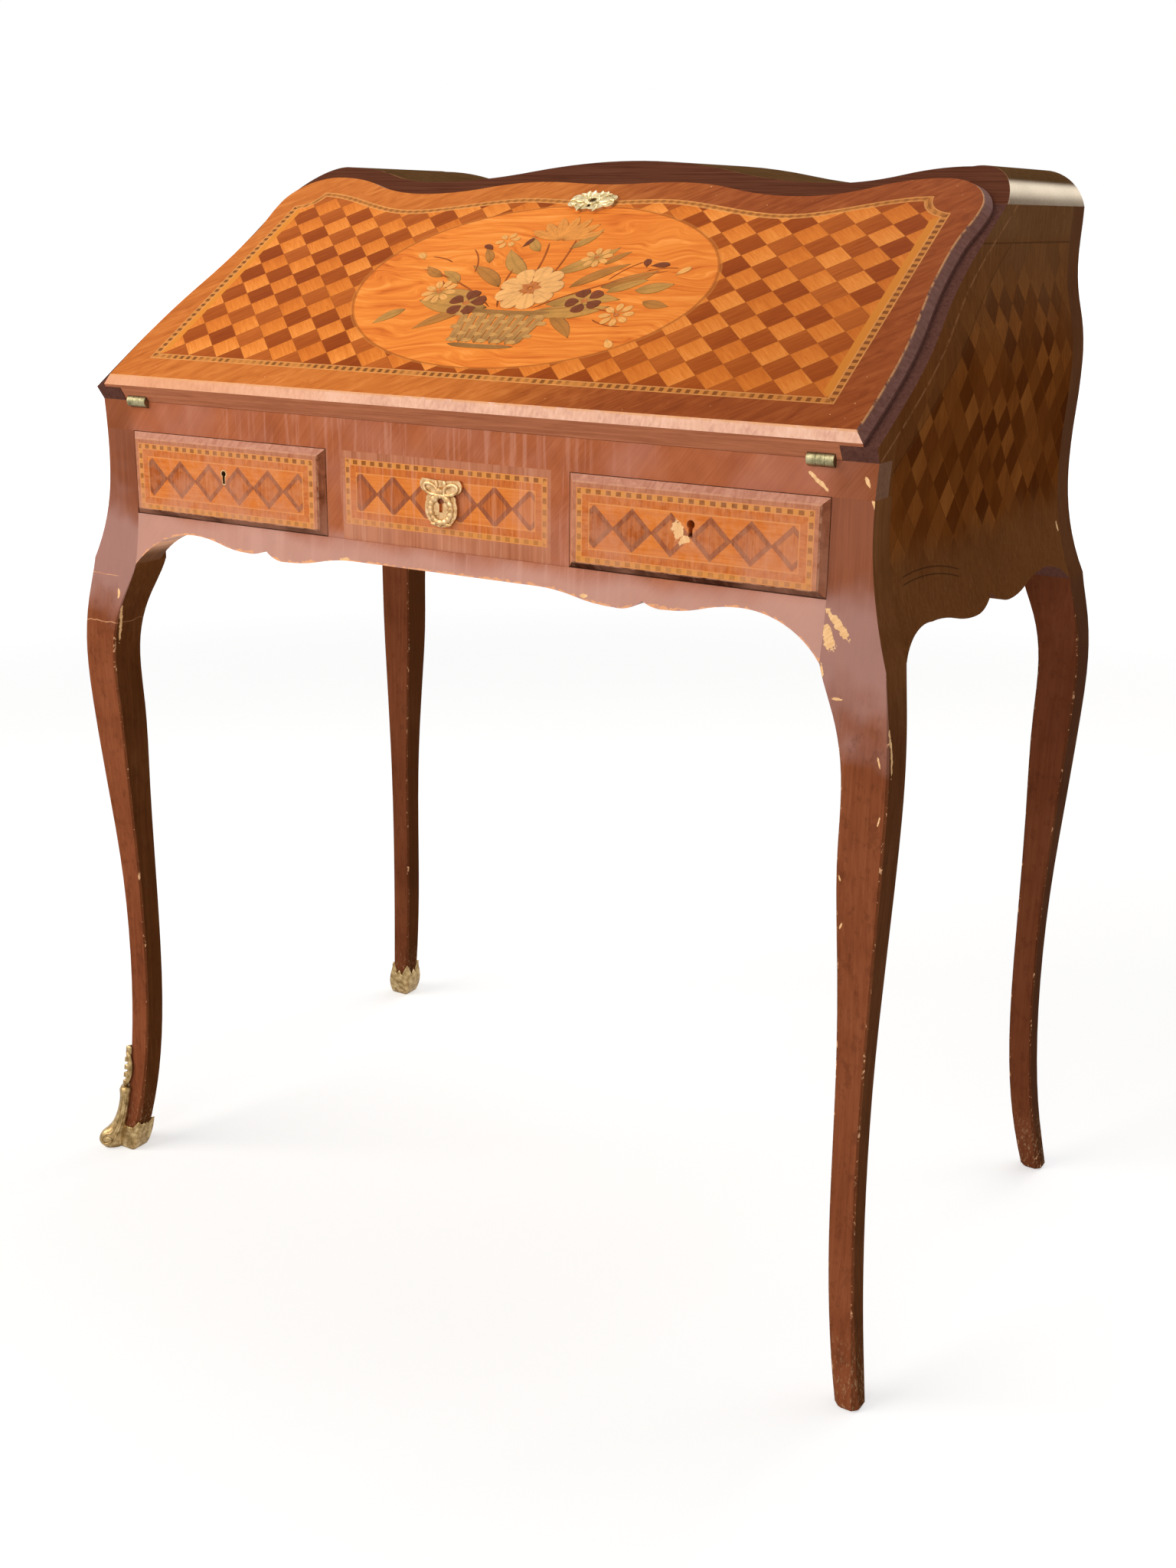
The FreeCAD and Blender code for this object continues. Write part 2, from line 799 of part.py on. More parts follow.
def make_nest_drawer(name, side, nest_front, shelf_under):
    inner = size.nest_centre_half + size.nest_divider + size.nest_gap
    outer = size.inner_half - size.nest_gap
    low, high = span(side, inner, outer)
    floor, roof = bed_top + size.nest_gap, shelf_under - size.nest_gap
    end = back_face - size.nest_gap * 2
    board_back = nest_front + size.nest_front
    board = block(f"nest_{name}_front", (low, nest_front, floor), (high, board_back, roof))
    keep(f"nest_{name}_drawer_front", board)
    tray = block(f"nest_{name}_blank", (low, board_back, floor), (high, end, roof - size.nest_wall))
    hollow_low = (low + size.nest_wall, board_back + size.nest_wall, floor + size.nest_floor)
    hollow_high = (high - size.nest_wall, end - size.nest_wall, roof + size.cut_overrun)
    hollow = block(f"nest_{name}_hollow", hollow_low, hollow_high)
    keep(f"nest_{name}_drawer_tray", carve(f"nest_{name}", tray, hollow))
    make_knob(f"nest_{name}_knob", (low + high) / 2, nest_front, (floor + roof) / 2)


knob_shares = (0.3, 0.45, 0.8)


def make_knob(label, x, face, level):
    # Turned knob: a slim neck under a button with sloped shoulders.
    body = new_body(label)
    neck, brim, shoulder = (size.knob_length * share for share in knob_shares)
    outline = [
        (zero, zero),
        (size.knob_neck_radius, zero),
        (size.knob_neck_radius, neck),
        (size.knob_radius, brim),
        (size.knob_radius, shoulder),
        (size.knob_neck_radius, size.knob_length),
        (zero, size.knob_length),
    ]
    sketch = sketch_on(body, "XY_Plane", outline)
    feature = body.newObject("PartDesign::Revolution", f"{label}_turned")
    feature.Profile = sketch
    feature.ReferenceAxis = (sketch, ["V_Axis"])
    feature.Angle = 360
    body.Placement = FreeCAD.Placement(FreeCAD.Vector(), FreeCAD.Rotation(FreeCAD.Vector(0, 0, 1), 180))
    place(body, x, face, level)
    doc.recompute()
    keep(label, body)


def keyhole(label, x, start, level, length, shrink=zero):
    # Round hole over a slot, through a board from its front.
    radius = size.keyhole_radius - shrink
    half = radius / 2
    low = (x - half, start, level - size.keyhole_slot + shrink)
    slot = block(f"{label}_slot", low, (x + half, start + length, level))
    return join(label, rod(f"{label}_round", (x, start, level), along_y, radius, length), slot)


def make_drawer(name, side):
    label = f"{name}_drawer"
    low, high = span(side, drawer_inner, drawer_outer)
    middle = drawer_middle * side
    proud_face = front - size.drawer_proud
    body = new_body(f"{label}_board")
    outline = [(low, drawer_floor), (high, drawer_floor), (high, drawer_top), (low, drawer_top)]
    pad(body, sketch_on(body, "XZ_Plane", outline, -proud_face), size.drawer_front_thickness, turned=True)
    bevel(body, "Chamfer", size.drawer_bevel, edge_at("Y", proud_face))
    lock_front = drawer_back - size.lock_thickness
    lock_low = (middle - size.lock_half, lock_front, lock_top - size.lock_height)
    lock_high = (middle + size.lock_half, drawer_back, lock_top)
    bolt_front = lock_front + (size.lock_thickness - size.bolt_thickness) / 2
    bolt_low = (middle - size.bolt_half, bolt_front, lock_top - size.bolt_height)
    bolt_high = (middle + size.bolt_half, bolt_front + size.bolt_thickness, lock_top)
    way_low = tuple(value - size.bolt_gap for value in bolt_low)
    way_high = (bolt_high[0] + size.bolt_gap, bolt_high[1] + size.bolt_gap, lock_top + size.cut_overrun)
    way = block(f"{label}_bolt_way", way_low, way_high)
    seat = block(f"{label}_lock_seat", lock_low, lock_high)
    hole = keyhole(f"{label}_keyhole", middle, proud_face, keyhole_level, lock_front - proud_face)
    keep(f"{label}_front", carve(f"{label}_front", body, seat, way, hole))
    lock_way = block(f"{label}_lock_way", way_low, way_high)
    keep(f"{label}_lock", carve(f"{label}_lock", block(f"{label}_lock_case", lock_low, lock_high), lock_way))
    keep(f"{label}_bolt", block(f"{label}_bolt", bolt_low, bolt_high))
    if side < 0:
        liner_hole = keyhole(f"{name}_liner_hole", middle, proud_face, keyhole_level,
                             lock_front - proud_face, size.liner_wall)
        liner = keyhole(f"{name}_liner_blank", middle, proud_face, keyhole_level, lock_front - proud_face)
        keep(f"{name}_keyhole_liner", carve(f"{name}_liner", liner, liner_hole))
    end = back_face - size.drawer_room
    wall = size.drawer_side_thickness
    wall_top = drawer_floor + size.drawer_side_height
    near = block(f"{label}_near", (low, drawer_back, drawer_floor), (low + wall, end, wall_top))
    away = block(f"{label}_away", (high - wall, drawer_back, drawer_floor), (high, end, wall_top))
    keep(f"{label}_sides", group(f"{label}_sides", near, away))
    base = drawer_floor + size.drawer_bottom_lift
    bottom_low = (low + wall, drawer_back, base)
    bottom_high = (high - wall, end, base + size.drawer_bottom_thickness)
    keep(f"{label}_bottom", block(f"{label}_bottom", bottom_low, bottom_high))
    back_low, back_high = (low + wall, end - wall, bottom_high[2]), (high - wall, end, wall_top)
    keep(f"{label}_back", block(f"{label}_back", back_low, back_high))
    strike_low = tuple(value - size.bolt_gap for value in bolt_low[:2]) + (rail_under - size.cut_overrun,)
    strike_high = tuple(value + size.bolt_gap for value in bolt_high[:2])
    strike_high += (lock_top + size.bolt_travel + size.bolt_gap,)
    return block(f"{label}_strike", strike_low, strike_high)


core_top = (size.case_rise - size.fall_thickness * slope_cos) / slope_sin - size.lip_overlap


def slope_reach(level):
    # Distance up the sloped edge of the case at a level.
    return (level - bed_top - size.fall_thickness * slope_cos) / slope_sin


lip_shares = (0.524, 0.18)


def lip_outline():
    # Lip of the fall: it follows the case up the sides, turns a quarter circle and waves across the top.
    low = (bulge_half - size.lip_reveal - size.lip_taper, size.lip_gap)
    bulge = (bulge_half - size.lip_reveal, slope_reach(bulge_level))
    neck = (neck_half - size.lip_reveal, slope_reach(neck_level))
    shoulder_reach = slope_reach(top_under - size.lip_shoulder_drop)
    shoulder = (shoulder_half - size.lip_shoulder_reveal, shoulder_reach)
    crest_reach = core_top + size.lip_crest_rise
    corner = crest_reach - shoulder_reach
    crest = (shoulder[0] - corner, crest_reach)
    quarter = Bend(shoulder[0] - corner * round_share, crest_reach - corner * round_share)
    dip = (shoulder_half * lip_shares[0], core_top + size.lip_dip_rise)
    hump = (shoulder_half * lip_shares[1], core_top + size.lip_hump_rise)
    middle = (zero, core_top + size.lip_middle_rise)

    half = [low, ease(bulge, low, 1), bulge] + sway(bulge, neck, 1) + sway(neck, shoulder, 1)
    half += [quarter, crest]
    half += sway(crest, dip, 0) + sway(dip, hump, 0) + sway(hump, middle, 0)
    return mirrored(half)


def make_fall(recesses):
    body = tilt(new_body("fall_blank"), zero, zero, zero)
    core_half = size.inner_half - size.fall_clearance
    foot = size.lip_gap
    core = [(-core_half, foot), (core_half, foot), (core_half, core_top), (-core_half, core_top)]
    pad(body, sketch_on(body, "XY_Plane", core), lip_under)
    pad(body, sketch_on(body, "XY_Plane", lip_outline(), lip_under), size.lip_thickness)
    bevel(body, "Chamfer", size.lip_bevel, edge_at("Z", lip_top))
    keep("fall_board", carve("fall_board", body, *recesses))


def make_fall_fittings():
    # Leather skiver, lock and bolt let into the fall; returns what is cut out for them.
    leather_half = size.inner_half - size.leather_side
    leather_end = core_top - size.lock_height - size.leather_margin / 2
    leather_low = (-leather_half, size.leather_margin, zero)
    leather_high = (leather_half, leather_end, size.leather_thickness)
    keep("writing_leather", tilted_block("writing_leather", leather_low, leather_high))
    leather_seat = tilted_block("leather_seat", leather_low, leather_high)
    lock_end = core_top - size.lock_margin
    lock_low = (-size.lock_half, lock_end - size.lock_height, zero)
    lock_high = (size.lock_half, lock_end, size.lock_thickness)
    bolt_under = (size.lock_thickness - size.bolt_thickness) / 2
    bolt_low = (-size.bolt_half, lock_end - size.bolt_height, bolt_under)
    bolt_high = (size.bolt_half, lock_end, bolt_under + size.bolt_thickness)
    way_low = tuple(value - size.bolt_gap for value in bolt_low)
    way_high = (bolt_high[0] + size.bolt_gap, core_top + size.cut_overrun, bolt_high[2] + size.bolt_gap)
    lock_case = tilted_block("fall_lock_case", lock_low, lock_high)
    keep("fall_lock", carve("fall_lock", lock_case, tilted_block("fall_lock_way", way_low, way_high)))
    keep("fall_bolt", tilted_block("fall_bolt", bolt_low, bolt_high))
    lock_seat = tilted_block("fall_lock_seat", lock_low, lock_high)
    bolt_way = tilted_block("fall_bolt_way", way_low, way_high)
    key_reach = core_top - size.escutcheon_margin
    key_length = lip_top + size.cut_overrun - size.lock_thickness
    hole = rod("fall_key_round", (zero, zero, zero), along_y, size.keyhole_radius, key_length)
    tilt(hole, zero, key_reach, size.lock_thickness)
    half = size.keyhole_radius / 2
    slot_low = (-half, key_reach - size.keyhole_slot, size.lock_thickness)
    slot = tilted_block("fall_key_slot", slot_low, (half, key_reach, lip_top + size.cut_overrun))
    strike_high = (bolt_high[0] + size.bolt_gap, lock_end + size.bolt_travel + size.bolt_gap)
    strike_high += (bolt_high[2] + size.bolt_gap,)
    strike = tilted_block("fall_strike", way_low, strike_high)
    return [leather_seat, lock_seat, bolt_way, hole, slot], strike


def make_top_rail(strike):
    # Rail under the top board that stops the head of the fall and takes its bolt.
    body = new_body("top_rail_blank")
    face_reach = core_top + size.fall_clearance
    heel = on_slope(face_reach, -size.top_rail_tuck)
    behind = slope_y(top_under) + size.top_rail_depth
    outline = [
        on_slope(face_reach, size.fall_thickness),
        heel,
        (behind, heel[1]),
        (behind, top_under),
        (slope_y(top_under), top_under),
    ]
    pad(body, sketch_on(body, "YZ_Plane", outline), size.inner_half * 2, both_ways=True)
    keep("top_rail", carve("top_rail", body, strike))


def make_hinge(name, side):
    # Butt hinge at the front corner: one leaf in the top of the rail, one in the inner face of the fall.
    label = f"{name}_hinge"
    start = (size.inner_half - size.hinge_inset) * side - size.hinge_length / 2
    end = start + size.hinge_length
    third = size.hinge_length / 3
    gap = size.hinge_gap

    def barrel(part, first, last, radius):
        return rod(f"{label}_{part}", (first, front, bed_top), along_x, radius, last - first)

    plate_low = (start, front, bed_top - size.hinge_leaf_thickness)
    plate_high = (end, front + size.hinge_leaf_depth, bed_top)
    clear = size.barrel_radius + gap
    middle_room = barrel("middle_room", start + third - gap / 2, end - third + gap / 2, clear)
    plate = carve(label, block(f"{label}_plate", plate_low, plate_high), middle_room)
    knuckles = [barrel("knuckle_a", start, start + third - gap / 2, size.barrel_radius)]
    knuckles.append(barrel("knuckle_b", end - third + gap / 2, end, size.barrel_radius))
    case_bore = barrel("case_bore", start - gap, end + gap, size.pin_radius)
    keep(f"{label}_case_leaf", carve(f"{label}_case", join(f"{label}_case", plate, *knuckles), case_bore))
    keep(f"{label}_pin", barrel("pin", start, end, size.pin_radius))
    flap_low = (start, gap * 2, zero)
    flap_high = (end, size.hinge_leaf_depth, size.hinge_leaf_thickness)
    rooms = [barrel("room_a", start - gap, start + third + gap / 2, clear)]
    rooms.append(barrel("room_b", end - third - gap / 2, end + gap, clear))
    flap = carve(f"{label}_flap", tilted_block(f"{label}_flap_plate", flap_low, flap_high), *rooms)
    knuckle = barrel("knuckle_c", start + third + gap / 2, end - third - gap / 2, size.barrel_radius)
    fall_bore = barrel("fall_bore", start - gap, end + gap, size.pin_radius + size.pin_fit)
    keep(f"{label}_fall_leaf", carve(f"{label}_fall", join(f"{label}_fall", flap, knuckle), fall_bore))
    case_recesses = [block(f"{label}_plate_seat", plate_low, plate_high)]
    case_recesses.append(barrel("case_seat", start - gap, end + gap, clear))
    fall_recesses = [tilted_block(f"{label}_flap_seat", flap_low, flap_high)]
    fall_recesses.append(barrel("fall_seat", start - gap, end + gap, clear))
    return case_recesses, fall_recesses


scallop_count = 8
scallop_share = 1.16


def scalloped(half_width, half_height, middle):
    # Oval with outward lobes.
    outline = []
    for index in range(scallop_count):
        for step in (0, 0.5):
            angle = 2 * math.pi * (index + step) / scallop_count
            swell = scallop_share if step else 1
            x = half_width * (math.cos(angle) * swell)
            y = middle + half_height * (math.sin(angle) * swell)
            outline.append(Bend(x, y) if step else (x, y))
    return outline


def pierce(body, role, level, offset, length, turned):
    # Keyhole through a gilt mount: a round eye over a slot.
    eye = size.keyhole_radius
    half = eye / 2
    foot = level - size.keyhole_slot
    neck = level - eye * math.sqrt(0.75)
    outline = [(-half, foot), (half, foot), (half, neck), Bend(zero, level + eye), (-half, neck)]
    pocket(body, sketch_on(body, role, outline, offset), length, turned)


def make_fall_escutcheon():
    body = tilt(new_body("fall_escutcheon"), zero, zero, zero)
    middle = core_top - size.escutcheon_margin
    half_width = size.escutcheon_half / scallop_share
    half_height = size.escutcheon_height / 2 / scallop_share
    plate = sketch_on(body, "XY_Plane", scalloped(half_width, half_height, middle), lip_top)
    pad(body, plate, size.escutcheon_thickness)
    pierce(body, "XY_Plane", middle, lip_top, size.escutcheon_thickness, True)
    keep("fall_escutcheon", body)


bow_shares = (0.24, 0.62, 0.86)


def make_centre_escutcheon():
    # Ribbon bow over an oval wreath, pierced for a key.
    body = new_body("centre_escutcheon")
    top = rail_under - size.wreath_drop
    knot = top - size.bow_height / 2
    waist_half = size.bow_half * bow_shares[0]
    tail_half = size.wreath_half * bow_shares[2]
    tail = top - size.bow_height
    wreath_middle = tail - size.wreath_height * (1 - bow_shares[2])
    wreath_low = tail - size.wreath_height * bow_shares[2]
    half = [
        (zero, wreath_low),
        Bend(size.wreath_half * bow_shares[2], mix(wreath_low, wreath_middle, bow_shares[0])),
        (size.wreath_half, wreath_middle),
        Bend(size.wreath_half, mix(wreath_middle, tail, bow_shares[1])),
        (tail_half, tail),
        (size.bow_half, mix(knot, tail, bow_shares[1])),
        Bend(size.bow_half * (2 - bow_shares[2]), knot),
        (size.bow_half, mix(knot, top, bow_shares[1])),
        (waist_half, knot + size.bow_height * bow_shares[0]),
        (zero, top - size.bow_height * bow_shares[0]),
    ]
    face = front - size.wreath_thickness
    plate = sketch_on(body, "XZ_Plane", mirrored(half)[:-1], -face)
    pad(body, plate, size.wreath_thickness, turned=True)
    pierce(body, "XZ_Plane", wreath_middle, -face, size.wreath_thickness, False)
    keep("centre_escutcheon", body)


shoe_shares = (0, 1)


def shoe_blend(height):
    # Shares of the drawn sections at a share of the leg's height, read between the leg's own rows.
    for upper, lower in zip(leg_shares, leg_shares[1:]):
        if lower[0] <= height <= upper[0]:
            along = (height - lower[0]) / (upper[0] - lower[0])
            return [low + (high - low) * along for low, high in zip(lower[1], upper[1])]


def make_shoe(name, side, rear, height, wall):
    # Gilt shoe round a foot: a swelled copy of the foot's lower end; the leg is taken out of it last.
    body = new_body(f"{name}_blank")
    sections = []
    for share in shoe_shares:
        level = height * share
        outline = leg_section(side, rear, shoe_blend((level / skirt_level).value), 1, wall)
        sections.append(sketch_on(body, "XY_Plane", outline, level))
    loft(body, sections)
    return body


facet_share = 0.4142


def make_toe(name):
    # Toe across the outer corner of the left front foot: an eight-sided roll, drawn in section.
    body = new_body(name)
    radius, facet = size.toe_radius, size.toe_radius * facet_share
    half = [(facet, -radius), (radius, -facet), (radius, facet), (facet, radius)]
    outline = half + [(-across, height) for across, height in reversed(half)]
    pad(body, sketch_on(body, "XZ_Plane", outline), size.toe_half * 2, both_ways=True)
    body.Placement = FreeCAD.Placement(FreeCAD.Vector(), FreeCAD.Rotation(FreeCAD.Vector(0, 0, 1), 45))
    x = -(foot_half + size.toe_reach)
    place(body, x, front - size.foot_reach - size.toe_reach, size.toe_radius + size.toe_lift)
    doc.recompute()
    return body


def make_shoes(legs):
    front_leg, rear_leg = legs["front", "left"], legs["rear", "left"]
    low = make_shoe("front_shoe_low", -1, False, size.shoe_height, size.shoe_wall)
    solid = join("front_shoe_all", low, make_toe("front_shoe_toe"))
    keep("front_shoe", carve("front_shoe", solid, front_leg))
    cup = make_shoe("rear_shoe_cup", -1, True, size.cup_height, size.cup_wall)
    keep("rear_shoe", carve("rear_shoe", cup, rear_leg))


sides = (("left", -1), ("right", 1))


def build():
    for name, side in sides:
        make_side(name, side)
    legs = {}
    for name, side in sides:
        legs["front", name] = make_leg(f"front_{name}_leg", side, False)
        legs["rear", name] = make_leg(f"rear_{name}_leg", side, True)
    make_top()
    make_apron()
    make_boards()
    make_well()
    make_nest()
    rail_recesses = [make_drawer(name, side) for name, side in sides]
    fall_recesses, strike = make_fall_fittings()
    for name, side in sides:
        case_seats, fall_seats = make_hinge(name, side)
        rail_recesses += case_seats
        fall_recesses += fall_seats
    make_front_rail(rail_recesses)
    make_fall(fall_recesses)
    make_top_rail(strike)
    make_fall_escutcheon()
    make_centre_escutcheon()
    make_shoes(legs)
    doc.recompute()


def check():
    failed = [item.Label for item in doc.Objects if {"Invalid", "Error"} & set(item.State)]
    failed += [label for label, piece in pieces.items() if piece.Shape.isNull() or not piece.Shape.isValid()]
    failed += [label for label, piece in pieces.items() if not piece.Shape.Solids]
    if failed:
        raise RuntimeError(f"failed: {sorted(set(failed))}")


def write():
    os.makedirs("parts", exist_ok=True)
    for label, piece in pieces.items():
        piece.Shape.exportStep(f"parts/{label}.step")
    print(len(pieces), "pieces written")


build()
check()
write()
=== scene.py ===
import math
from functools import partialmethod

import bpy
import numpy as np
from mathutils import Matrix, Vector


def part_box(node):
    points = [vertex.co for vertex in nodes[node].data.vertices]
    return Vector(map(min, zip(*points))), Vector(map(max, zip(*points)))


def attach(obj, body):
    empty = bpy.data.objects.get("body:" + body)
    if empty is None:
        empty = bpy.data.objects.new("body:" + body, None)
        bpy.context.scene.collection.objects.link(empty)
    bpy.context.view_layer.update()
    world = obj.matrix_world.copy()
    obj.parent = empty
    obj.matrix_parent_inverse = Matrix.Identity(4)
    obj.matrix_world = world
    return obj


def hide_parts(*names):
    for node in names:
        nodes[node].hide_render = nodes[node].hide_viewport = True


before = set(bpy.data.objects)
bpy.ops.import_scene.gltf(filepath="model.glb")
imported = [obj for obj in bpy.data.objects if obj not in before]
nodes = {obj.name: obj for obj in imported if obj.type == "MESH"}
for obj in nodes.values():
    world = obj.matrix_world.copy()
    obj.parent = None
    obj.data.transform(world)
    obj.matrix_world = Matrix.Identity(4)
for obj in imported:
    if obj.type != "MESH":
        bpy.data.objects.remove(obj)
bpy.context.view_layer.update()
print("frame loaded:", len(nodes), "nodes")

desk = {"front": -212.0, "hingeLevel": 710.0, "slope": math.radians(32.5), "lipTop": 21.5}  # mm, as drawn
slopeSin, slopeCos = math.sin(desk["slope"]), math.cos(desk["slope"])
diagonal = 0.7071  # cosine of 45 degrees


def paint(red, green, blue):  # a colour as seen on a screen, turned to the shader's linear scale
    parts = [((part / 255 + 0.055) / 1.055) ** 2.4 for part in (red, green, blue)]
    return (*parts, 1.0)


def shades(*colours, at=None):  # a ramp's stops, two or three of them at the usual places
    places = at or {2: (0.3, 0.7), 3: (0.25, 0.5, 0.78)}[len(colours)]
    return [(place, paint(*colour)) for place, colour in zip(places, colours)]


def slopeAxes(y, z):  # mm up along the fall's slope, and out from it
    ahead, rise = y - desk["front"], z - desk["hingeLevel"]
    return ahead * slopeCos + rise * slopeSin, rise * slopeCos - ahead * slopeSin


def circle(count):
    return np.linspace(0, 2 * np.pi, count, endpoint=False)


def addObject(name, data):
    made = bpy.data.objects.new(name, data)
    bpy.context.scene.collection.objects.link(made)
    return made


class Wire:  # one output socket; sums on it add Math nodes
    def __init__(self, graph, socket):
        self.graph, self.socket = graph, socket

    def calc(self, operation, *others):
        return self.graph.node("ShaderNodeMath", {"operation": operation}, dict(enumerate((self, *others))))

    def calcBack(self, operation, other):  # the other value stands first, as in 1 - mask
        return self.graph.node("ShaderNodeMath", {"operation": operation}, {0: other, 1: self})

    __add__, __radd__ = partialmethod(calc, "ADD"), partialmethod(calcBack, "ADD")
    __sub__, __rsub__ = partialmethod(calc, "SUBTRACT"), partialmethod(calcBack, "SUBTRACT")
    __mul__, __rmul__ = partialmethod(calc, "MULTIPLY"), partialmethod(calcBack, "MULTIPLY")
    __truediv__, __rtruediv__ = partialmethod(calc, "DIVIDE"), partialmethod(calcBack, "DIVIDE")
    __abs__, root = partialmethod(calc, "ABSOLUTE"), partialmethod(calc, "SQRT")
    floor, fract = partialmethod(calc, "FLOOR"), partialmethod(calc, "FRACT")
    least, most = partialmethod(calc, "MINIMUM"), partialmethod(calc, "MAXIMUM")

    def past(self, edge, width):  # 0 below the edge, 1 above it, with a soft step of that width
        span = {"From Min": edge - width / 2, "From Max": edge + width / 2}
        settings = {"interpolation_type": "SMOOTHSTEP"}
        return self.graph.node("ShaderNodeMapRange", settings, {"Value": self, **span})

    def within(self, low, high, width):
        return self.past(low, width) * (1 - self.past(high, width))


class Graph:  # node tree of a material or the world; node() makes all but the output, shader and coordinates
    def __init__(self, owner):
        owner.use_nodes = True
        self.tree = owner.node_tree
        self.tree.nodes.clear()

    def node(self, kind, settings=None, values=None, out=0):
        made = self.tree.nodes.new(kind)
        for key, value in (settings or {}).items():
            if key == "stops":
                self.setStops(made.color_ramp, value)
            elif key == "rampStyle":
                made.color_ramp.interpolation = value
            else:
                setattr(made, key, value)
        for key, value in (values or {}).items():
            if isinstance(value, Wire):
                self.tree.links.new(value.socket, made.inputs[key])
            else:
                made.inputs[key].default_value = value
        return Wire(self, made.outputs[out])

    def setStops(self, ramp, stops):
        while len(ramp.elements) < len(stops):
            ramp.elements.new(1.0)
        for element, (place, colour) in zip(ramp.elements, stops):
            element.position = place
            element.color = colour if isinstance(colour, tuple) else (colour, colour, colour, 1.0)

    def seen(self):  # 1 for what the camera or a mirror sees, 0 for the light that falls on things
        rays = ("Is Camera Ray", "Is Glossy Ray", "Is Transmission Ray")
        camera, mirror, through = (self.node("ShaderNodeLightPath", None, None, ray) for ray in rays)
        return camera.most(mirror).most(through)


class Finish(Graph):  # one material with its shader
    def __init__(self, name, **fixed):
        self.material = bpy.data.materials.new(name)
        super().__init__(self.material)
        self.shader = self.tree.nodes.new("ShaderNodeBsdfPrincipled")
        self.out = self.tree.nodes.new("ShaderNodeOutputMaterial")
        self.tree.links.new(self.shader.outputs[0], self.out.inputs[0])
        for key, value in fixed.items():
            self.shader.inputs[key].default_value = value
        self.coords = self.tree.nodes.new("ShaderNodeTexCoord")

    def split(self, output):  # the three parts of a coordinate
        first = self.node("ShaderNodeSeparateXYZ", None, {0: Wire(self, self.coords.outputs[output])})
        return [Wire(self, socket) for socket in first.socket.node.outputs]

    def axes(self):  # x, y and z of the point in mm
        self.place = [part * 1000.0 for part in self.split("Object")]
        return self.place

    def point(self, x, y, z=0.0):
        return self.node("ShaderNodeCombineXYZ", None, {0: x, 1: y, 2: z})

    def noise(self, place, detail=3.0, rough=0.55, bend=0.0):  # 0 to 1 about 0.5, cells one unit wide
        values = {"Scale": 1.0, "Detail": detail, "Roughness": rough, "Distortion": bend}
        return self.node("ShaderNodeTexNoise", None, {"Vector": self.point(*place), **values})

    def cloud(self, size, *place):  # slow change of tone over the piece
        return self.noise([part / size for part in place or self.place], 2.0, 0.5)

    def dice(self, place):  # one even random number per place
        settings = {"noise_dimensions": "3D"}
        return self.node("ShaderNodeTexWhiteNoise", settings, {"Vector": self.point(*place)})

    def ramp(self, factor, stops, style="LINEAR"):
        return self.node("ShaderNodeValToRGB", {"stops": stops, "rampStyle": style}, {"Fac": factor})

    def curve(self, across, pairs, span, base, rise, style="LINEAR"):  # drawn by (across, height)
        stops = [(at / span, (height - base) / rise) for at, height in pairs]
        return self.ramp(across / span, stops, style) * rise + base

    def mix(self, factor, first, second):
        return self.node("ShaderNodeMix", {"data_type": "RGBA"}, {0: factor, 6: first, 7: second}, 2)

    def lay(self, factor, colour):  # one more coat over the tone so far
        self.tone = self.mix(factor, self.tone, colour)

    def length(self, first, second):
        return (first * first + second * second).root()

    def feed(self, socket, wire):
        self.tree.links.new(wire.socket, self.shader.inputs[socket])

    def done(self, polish, low, high, height, strength, depth):  # tone, roughness and bump in metres
        self.feed("Base Color", self.tone)
        self.feed("Roughness", polish * (high - low) + low)
        bump = {"Height": height, "Strength": strength, "Distance": depth}
        self.feed("Normal", self.node("ShaderNodeBump", None, bump))
        return self.material


# Grain: streaks long along the wood and short across it, with finer pores laid over them.
def grain(finish, along, across, deep, length=70.0, width=2.2, bend=0.6):
    broad = finish.noise((along / length, across / width, deep / width), 4.0, 0.6, bend)
    pores = finish.noise((along / (length * 0.16), across / 0.45, deep / 0.45), 2.0, 0.5)
    return broad * 0.72 + pores * 0.28


def woodCoat(name, rough=0.4, gloss=0.02):  # old polish with little gloss left
    fixed = {"Roughness": rough, "Coat Roughness": 0.16, "Specular IOR Level": gloss}
    return Finish(name, **fixed)


# Bare wood shows in torn patches: a leaning oval spot whose rim is broken by noise.
def chips(finish, first, second, spots):
    ragged = finish.noise((first / 4.0, second / 4.0, 0.3), 4.0, 0.65)
    torn = None
    for along, up, wide, tall, lean in spots:
        across = first - along + (second - up) * lean
        spot = finish.length(across / wide, (second - up) / tall) + (ragged - 0.5) * 1.9
        patch = 1 - spot.past(0.85, 0.12)
        torn = patch if torn is None else torn.most(patch)
    return torn


# Net of lozenges: rim is |a| + |b| from the nearest whole numbers, pale is 1 where it is under a half,
# and each lozenge, pale or dark, has its middle (cellA, cellB) and its own luck.
def lozenges(finish, a, b, soft):
    rim = abs((a + 0.5).fract() - 0.5) + abs((b + 0.5).fract() - 0.5)
    pale = 1 - rim.past(0.5, soft)
    cellA, cellB = ((part + 0.5).floor() * pale + (part.floor() + 0.5) * (1 - pale) for part in (a, b))
    return pale, finish.dice((cellA, cellB, pale)), rim, cellA, cellB


bareWood = shades((214, 160, 104), (236, 190, 138), (244, 208, 160), at=(0.3, 0.55, 0.75))

